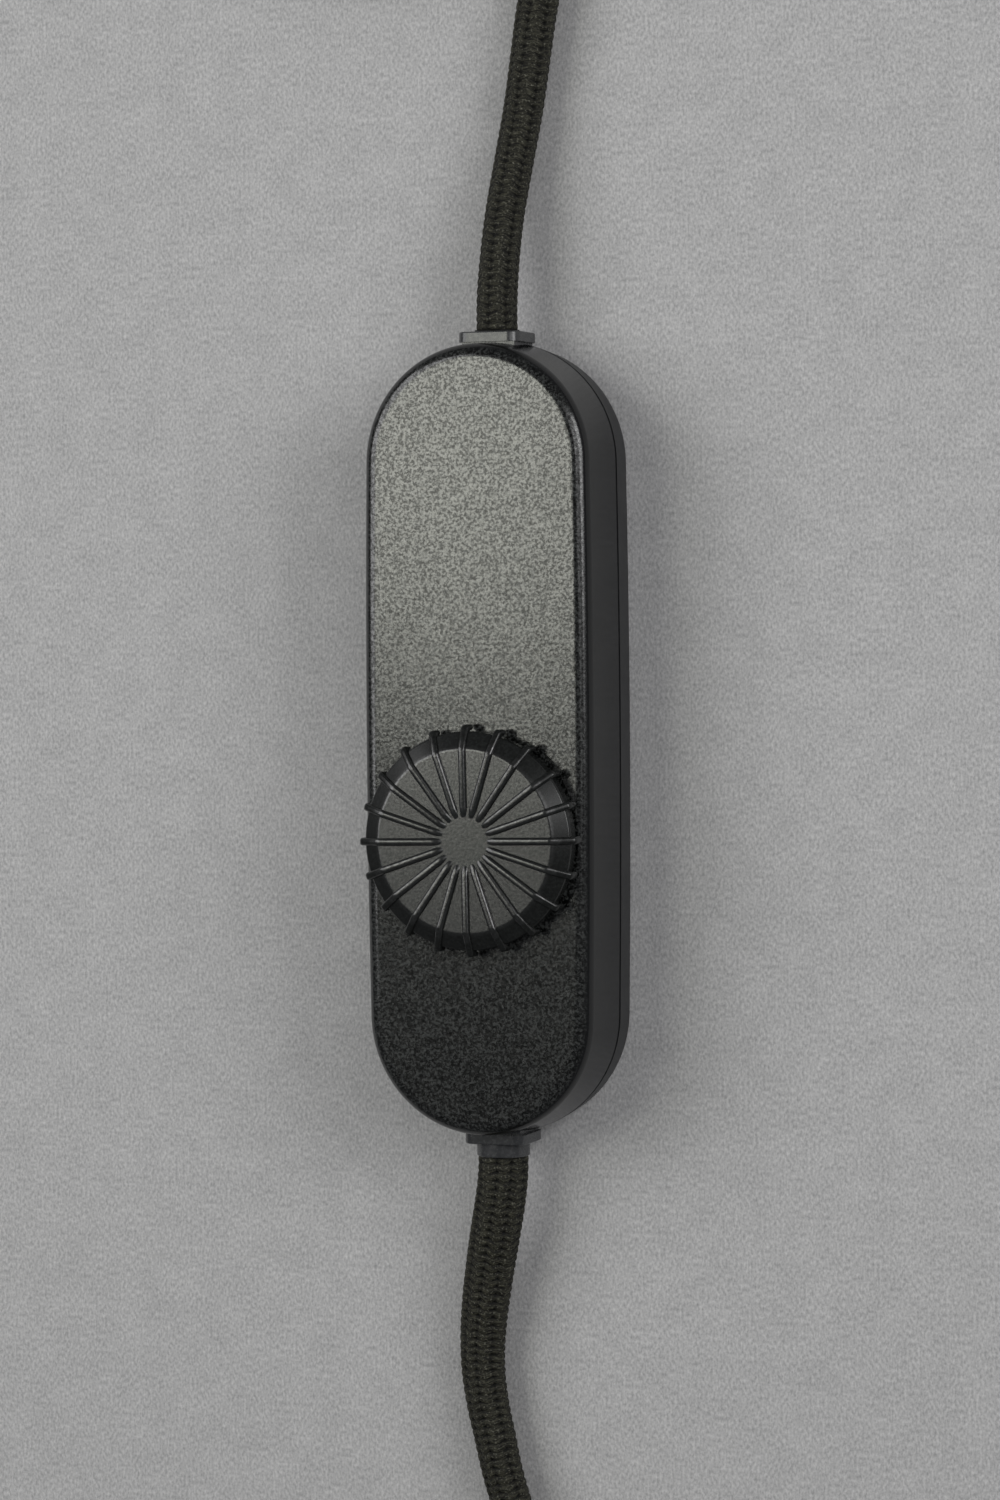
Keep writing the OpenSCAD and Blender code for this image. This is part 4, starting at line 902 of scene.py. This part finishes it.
def drawn_solid(name, foot, far, radius, fillet):
    """A solid from the outline at its foot, drawn in by the mould's draft to a far face with a round edge."""
    piece = housing_outline(name, foot, radius)
    height = abs(far - foot)
    if (far > foot) != (bmesh.from_edit_mesh(piece.data).faces[:][0].normal.z > 0):
        bpy.ops.mesh.flip_normals()
    bpy.ops.mesh.inset(thickness=height * DRAFT, depth=height, use_even_offset=True)
    pick("edges", at_height(far))
    bevel(fillet, 12)
    pick("faces", at_height(far))
    bpy.ops.mesh.inset(thickness=FACE_MARGIN)
    pick("edges", at_height(foot))
    bpy.ops.mesh.edge_face_add()
    turn_faces_out()
    return piece


def cover_shell(name, far, fillet):
    """One cover: a hollowed solid from the slot at the parting line to its far face. The slot's lower
    edge stays sharp, so that the slot reads as one dark line."""
    up = math.copysign(1, far - SEAM)
    piece = drawn_solid(name, SEAM + up * SEAM_SLOT, far, END_RADIUS, fillet)
    if up > 0:
        pick("edges", at_height(SEAM + SEAM_SLOT))
        bevel(SEAM_BREAK, 2)
    finish_edit()
    hollow = drawn_solid("hollow", SEAM - up * LIP_REACH, far - up * WALL, END_RADIUS - WALL, fillet / 2)
    finish_edit()
    cut(piece, hollow)
    return piece


def make_lip():
    """The lip inside both covers that closes the slot between them."""
    parts = []
    for inset, reach in ((LIP_INSET, LIP_REACH), (WALL, 2 * LIP_REACH)):
        part = housing_outline("lip", SEAM - reach, END_RADIUS - inset)
        extrude(z=2 * reach)
        turn_faces_out()
        finish_edit()
        parts.append(part)
    cut(*parts)
    return parts[0]


def cut_mouths(piece):
    """Cuts the bushes' openings through both end walls."""
    for side in (-1, 1):
        middle = side * (HALF_LENGTH - WALL)
        block(
            (-NECK.x / 2, middle - NECK_MOUTH / 2, CORD_HEIGHT - NECK.z / 2),
            (NECK.x / 2, middle + NECK_MOUTH / 2, CORD_HEIGHT + NECK.z / 2),
        )
        cut(piece, bpy.context.object)


def make_top_cover():
    """The deep cover, with the knob's bore and four screw bosses inside."""
    piece = cover_shell("dimmer_top_cover", COVER_TOP, TOP_FILLET)
    cut_mouths(piece)
    cylinder(HUB_HOLE, COVER_TOP - 2 * WALL, COVER_TOP + WALL, 0, KNOB_Y, 96)
    cut(piece, bpy.context.object)
    bosses = []
    for x, y in SCREWS:
        cylinder(SCREW_BOSS, SCREW_SPLIT, COVER_TOP - WALL / 2, x, y, 48)
        boss = start("screw_boss")
        finish_edit()
        cylinder(SCREW_HOLE, SCREW_SPLIT - WALL, COVER_TOP - 3 * WALL, x, y, 32)
        cut(boss, bpy.context.object)
        bosses.append(boss)
    join([piece, *bosses])
    smooth(piece)
    hand_in(piece, "housing", cover_plastic, "housing_plastic", "top_cover")


def make_bottom_cover():
    """The shallow cover, with the lip, and bosses that take the screws' heads from below."""
    piece = cover_shell("dimmer_bottom_cover", 0, BOTTOM_FILLET)
    cut_mouths(piece)
    lip = make_lip()
    cut_mouths(lip)
    for x, y in SCREWS:
        cylinder(SCREW_HEAD_HOLE, -WALL, 2 * WALL, x, y, 48)
        cut(piece, bpy.context.object)
    bosses = []
    for x, y in SCREWS:
        cylinder(SCREW_BOSS, WALL / 2, SCREW_SPLIT, x, y, 48)
        boss = start("screw_boss")
        finish_edit()
        cylinder(SCREW_HEAD_HOLE, 0, SCREW_SEAT, x, y, 48)
        cut(boss, bpy.context.object)
        cylinder(SCREW_HOLE, 0, SCREW_SPLIT + WALL, x, y, 32)
        cut(boss, bpy.context.object)
        bosses.append(boss)
    join([piece, lip, *bosses])
    smooth(piece)
    hand_in(piece, "housing", base_plastic, "housing_plastic", "bottom_cover")


make_top_cover()
make_bottom_cover()

# ---------------------------------------------------------------- knob


def make_knob_cap():
    """The knob without its ribs: flat disc, bevel, skirt and hub, hollow below."""
    shoulder = KNOB_TOP - BEVEL_HEIGHT
    ceiling = shoulder - KNOB_CEILING
    foot_radius = RIM_RADIUS - KNOB_DRAFT
    cylinder(foot_radius, KNOB_BOTTOM, shoulder, 0, KNOB_Y, KNOB_SIDES, RIM_RADIUS)
    piece = start("dimmer_knob")
    pick("faces", lambda f: f.normal.z > FACING)
    bpy.ops.mesh.inset(thickness=RIM_RADIUS - DISC_RADIUS, depth=BEVEL_HEIGHT)
    pick("edges", at_height(shoulder))
    bevel(SHOULDER_ROUND, 4)
    pick("edges", at_height(KNOB_TOP))
    bevel(DISC_ROUND, 3)
    pick("faces", lambda f: len(f.verts) == KNOB_SIDES and f.normal.z > 0)
    bpy.ops.mesh.inset(thickness=DISC_MARGIN)
    pick("faces", lambda f: f.normal.z < -FACING)
    bpy.ops.mesh.inset(thickness=KNOB_WALL)
    extrude(z=ceiling - KNOB_BOTTOM)
    bpy.ops.mesh.inset(thickness=foot_radius - KNOB_WALL - HUB_RADIUS)
    extrude(z=HUB_BOTTOM - ceiling)
    bpy.ops.mesh.inset(thickness=HUB_RADIUS - SHAFT_RADIUS)
    extrude(z=KNOB_TOP - KNOB_WALL - HUB_BOTTOM)
    finish_edit()
    smooth(piece)
    return piece


def make_rib():
    """One rib along +X from the knob's axis: a ramp at the eye, a flat top, a slope over the bevel and
    a rounded foot past the rim."""
    crest = KNOB_TOP + RIB_HEIGHT
    low = KNOB_TOP - RIB_DEPTH
    half = RIB_WIDTH / 2
    block((EYE_RADIUS + RIB_RAMP, KNOB_Y - half, low), (DISC_RADIUS, KNOB_Y + half, crest))
    rib = start("rib")
    pick("faces", lambda f: f.normal.x < -FACING)
    extrude(x=-RIB_RAMP)
    pick("edges", lambda e: all(v.co.x < EYE_RADIUS + NEAR and v.co.z > low + NEAR for v in e.verts))
    bpy.ops.transform.translate(value=(0, 0, -RIB_HEIGHT - RIB_RAMP_SINK))
    pick("faces", lambda f: f.normal.x > FACING)
    extrude(x=RIM_RADIUS - DISC_RADIUS, z=-BEVEL_HEIGHT)
    extrude(x=RIB_REACH, z=-RIB_TIP_DROP)
    # The foot grows down from the tip's underside
    pick("faces", lambda f: f.normal.z < -0.3 and f.calc_center_median().x > RIM_RADIUS)
    extrude(z=KNOB_BOTTOM + RIB_FOOT - low + BEVEL_HEIGHT + RIB_FOOT_SLOPE)
    finish_edit()
    round_edges(rib, RIB_ROUND, 5, 20)
    smooth(rib, 50)
    return rib


def make_knob():
    """The knob: its cap and its ribs, which are copies of one, turned about the knob's axis."""
    piece = make_knob_cap()
    rib = make_rib()
    axis = Matrix.Translation((0, KNOB_Y, 0))
    ribs = []
    for i in range(RIBS):
        turn = Matrix.Rotation(RIB_PHASE + i * 2 * math.pi / RIBS, 4, "Z")
        copy = rib.copy()
        copy.data = rib.data.copy()
        copy.data.transform(axis @ turn @ axis.inverted())
        bpy.context.scene.collection.objects.link(copy)
        ribs.append(copy)
    bpy.data.objects.remove(rib)
    join([piece, *ribs])
    hand_in(piece, "knob", knob_plastic, "knob_plastic", "knob")


make_knob()

# ---------------------------------------------------------------- bushes


def make_bush(name, side, collar, node_name):
    """A bush in the end wall: a flange with rounded corners, a neck in the wall and a collar."""
    face = side * (FLANGE_BACK + FLANGE.y)
    back = side * (FLANGE_BACK - FLANGE_SEAT)
    block(
        (-FLANGE.x / 2, min(face, back), CORD_HEIGHT - FLANGE.z / 2),
        (FLANGE.x / 2, max(face, back), CORD_HEIGHT + FLANGE.z / 2),
    )
    piece = start(name)
    pick("edges", along_y(FLANGE.y / 2))
    bevel(FLANGE_CORNER, 8)
    pick("edges", at_end(face))
    bevel(FLANGE_EDGE, 3)
    finish_edit()
    parts = [piece]
    inner = back - side * NECK.y
    outer = back + side * NECK_OVERLAP
    block(
        (-NECK.x / 2, min(inner, outer), CORD_HEIGHT - NECK.z / 2),
        (NECK.x / 2, max(inner, outer), CORD_HEIGHT + NECK.z / 2),
    )
    parts.append(start("neck"))
    finish_edit()
    if collar:
        end = face + side * collar
        lying_cylinder(COLLAR_RADIUS, face - side * COLLAR_OVERLAP, end, 0, CORD_HEIGHT, 96)
        parts.append(start("collar"))
        pick("edges", at_end(end))
        bevel(COLLAR_EDGE, 4)
        finish_edit()
    for part in parts:
        lying_cylinder(CORD_RADIUS + BORE_PLAY, side * BORE_FROM, side * BORE_TO, 0, CORD_HEIGHT, 96)
        cut(part, bpy.context.object)
    join(parts)
    smooth(piece)
    hand_in(piece, "housing", bush_plastic, "bush_plastic", node_name)


make_bush("cord_bush_at_plug_lead", -1, COLLAR_LENGTH, "cord_bush_plug_side")
make_bush("cord_bush_at_lamp_lead", 1, 0, "cord_bush_lamp_side")

# ---------------------------------------------------------------- what is on the cords


def make_strap(name, hank, side, left_level, right_level, node_name):
    """A hook-and-loop strap round a hank's runs, with rounded corners, stepped up where the runs lie at two
    heights.
    """
    half = (HANK_FOLD - HANK_WAIST + TIE_THICKNESS) * MM + CORD_RADIUS + STRAP_SIDE_PLAY
    over = (HANK_Z + HANK_LIFT + TIE_THICKNESS) * MM + CORD_RADIUS + STRAP_TOP_PLAY
    tops = [over + HANK_STEP * level * MM for level in (left_level, right_level)]
    middle = HANK_X * MM
    y = side * hank.tie * MM
    block(
        (middle - half, y - TIE_WIDTH / 2 * MM, 0),
        (middle + half, y + TIE_WIDTH / 2 * MM, tops[0]),
    )
    piece = start(name)
    if tops[1] > tops[0]:
        bpy.ops.mesh.select_all(action="SELECT")
        step = middle + half - STRAP_STEP
        bpy.ops.mesh.bisect(plane_co=(step, 0, 0), plane_no=(1, 0, 0))
        pick("faces", lambda f: f.normal.z > FACING and f.calc_center_median().x > step)
        extrude(z=tops[1] - tops[0])
    pick("faces", lambda f: abs(f.normal.y) > FACING)
    bpy.ops.mesh.delete(type="FACE")
    crosswise = along_y(TIE_WIDTH / 2 * MM)
    pick("edges", lambda e: crosswise(e) and not flat_edge(e))
    bevel(STRAP_CORNER, 7)
    finish_edit()
    apply_modifier(piece, "SOLIDIFY", thickness=TIE_THICKNESS * MM, offset=-1, use_even_offset=True)
    smooth(piece, 40)
    hand_in(piece, "housing", strap_textile, "tie_strap", node_name)
    return piece


def flat_edge(edge):
    """True where an edge lies between two faces that are level with each other."""
    return len(edge.link_faces) == 2 and edge.link_faces[0].normal.dot(edge.link_faces[1].normal) > FACING


plug_strap = make_strap(
    "hank_strap_plug_side", PLUG_HANK, -1, PLUG_HANK.loops - 1, PLUG_HANK.loops - 1, "hank_tie_plug_side"
)
lamp_strap = make_strap("hank_strap_lamp_side", LAMP_HANK, 1, 0, 1, "hank_tie_lamp_side")


def make_plug_body():
    """A flat two-pole plug: broad at its face, drawn in to a tail where the strain relief starts."""
    length = PLUG_FACE_Y - PLUG_TAIL_Y
    z = PLUG_AXIS_Z * MM
    x = HANK_X * MM
    block(
        (x - PLUG_WIDTH / 2, -PLUG_FACE_Y, z - PLUG_THICKNESS / 2),
        (x + PLUG_WIDTH / 2, -PLUG_FACE_Y + PLUG_STRAIGHT * length, z + PLUG_THICKNESS / 2),
    )
    piece = start("two_pole_plug")
    pick("faces", lambda f: f.normal.y > FACING)
    for step, width in PLUG_STEPS:
        extrude(y=step * length)
        bpy.ops.transform.resize(value=(width, 1, PLUG_THINNING), center_override=(x, 0, z))
    finish_edit()
    round_edges(piece, PLUG_EDGE, 6, 60)
    smooth(piece, 45)
    hand_in(piece, "housing", plug_plastic, "plug_plastic", "plug_body")
    return piece


def make_strain_relief():
    """The plug's tapered strain relief, with grooves all round."""
    z = PLUG_AXIS_Z * MM
    x = HANK_X * MM
    lying_cylinder(RELIEF_THIN, -RELIEF_START_Y, -RELIEF_START_Y - RELIEF_LEAD, x, z, 48)
    piece = start("plug_bend_relief")
    steps = 2 * RELIEF_GROOVES
    step = (PLUG_TAIL_Y - RELIEF_START_Y - RELIEF_LEAD) / steps
    radius = RELIEF_THIN
    pick("faces", lambda f: f.normal.y < -FACING)
    for i in range(steps):
        wanted = RELIEF_THIN + (RELIEF_THICK - RELIEF_THIN) * (i + 1) / steps
        if i % 2 == 1:
            wanted -= RELIEF_GROOVE_DEPTH
        bpy.ops.transform.resize(value=(wanted / radius, 1, wanted / radius), center_override=(x, 0, z))
        extrude(y=-step)
        radius = wanted
    finish_edit()
    round_edges(piece, RELIEF_EDGE, 2, 40)
    smooth(piece, 40)
    hand_in(piece, "housing", plug_plastic, "plug_plastic", "plug_strain_relief")
    return piece


plug = make_plug_body()
relief = make_strain_relief()

hand_in(plug_cord, "housing", braid, "braid", "cord_plug_side", "hank_plug_side")
hand_in(lamp_cord, "housing", braid, "braid", "cord_lamp_side", "hank_lamp_side")

# ---------------------------------------------------------------- floor and light

CARD_FIBRE_WIDTH = 0.4 * MM
CARD_FIBRE_LENGTH = 2 / 3 * MM
FLOOR_SIZE = 6


def matt_card():
    """Pale grey card: matt, with a soft mottle and fine fibres that just show."""
    material, tree, shader, place = new_material("pale_grey_card", Roughness=0.95, Specular_IOR_Level=0.2)
    mottle = node(tree, "TexNoise", grains(3 * MM, 3.0, 0.5), Vector=place)
    stretch = {"Scale": (1 / CARD_FIBRE_WIDTH, 1 / CARD_FIBRE_LENGTH, 1)}
    fibre_map = node(tree, "Mapping", stretch, Vector=place)
    fibres = node(tree, "TexNoise", {"Scale": 1.0, "Detail": 3.0, "Roughness": 0.65}, Vector=fibre_map)
    both = node(tree, "Mix", {"data_type": "FLOAT", "Factor": 0.86}, i2=mottle, i3=fibres)
    feed(shader, Base_Color=blend_colours(tree, both, "#b0b0b1", "#f0efef"))
    return material


def make_floor():
    """A sheet of card under the object."""
    deselect_all()
    bpy.ops.mesh.primitive_plane_add(size=FLOOR_SIZE, location=(0, 0, 0))
    floor = bpy.context.object
    floor.name = "floor"
    floor.data.materials.append(matt_card())


def make_light(name, place, size, watts, colour="#ffffff", aim=(0, 0, 0)):
    """A soft box at a place, facing the object."""
    data = bpy.data.lights.new(name, "AREA")
    data.shape = "RECTANGLE"
    data.size, data.size_y = size
    data.energy = watts
    data.color = linear(colour)[:3]
    light = bpy.data.objects.new(name, data)
    bpy.context.scene.collection.objects.link(light)
    light.location = place
    light.rotation_euler = (Vector(aim) - Vector(place)).to_track_quat("-Z", "Y").to_euler()


make_floor()
# The key stands where the top face mirrors it to the lens, and the strip where the right edge does
make_light("key_soft_box", (-0.30, 0.10, 0.80), (0.24, 0.19), 0.6, "#fefff3", (-0.02, 0, 0))
make_light("edge_strip", (0.38, 0.20, 0.85), (0.12, 0.40), 0.25)
make_light("right_high_box", (0.45, 0.22, 0.75), (0.45, 0.50), 0.5)
make_light("right_low_box", (0.80, 0.28, 0.55), (0.50, 0.40), 2.7)
make_light("left_box", (-0.66, 0.24, 0.68), (0.60, 0.60), 2.7)

world = bpy.data.worlds.new("studio")
world.use_nodes = True
background = world.node_tree.nodes["Background"].inputs
background["Color"].default_value = linear("#88898c")
background["Strength"].default_value = 0.36
bpy.context.scene.world = world

# ---------------------------------------------------------------- last update

bpy.context.view_layer.update()
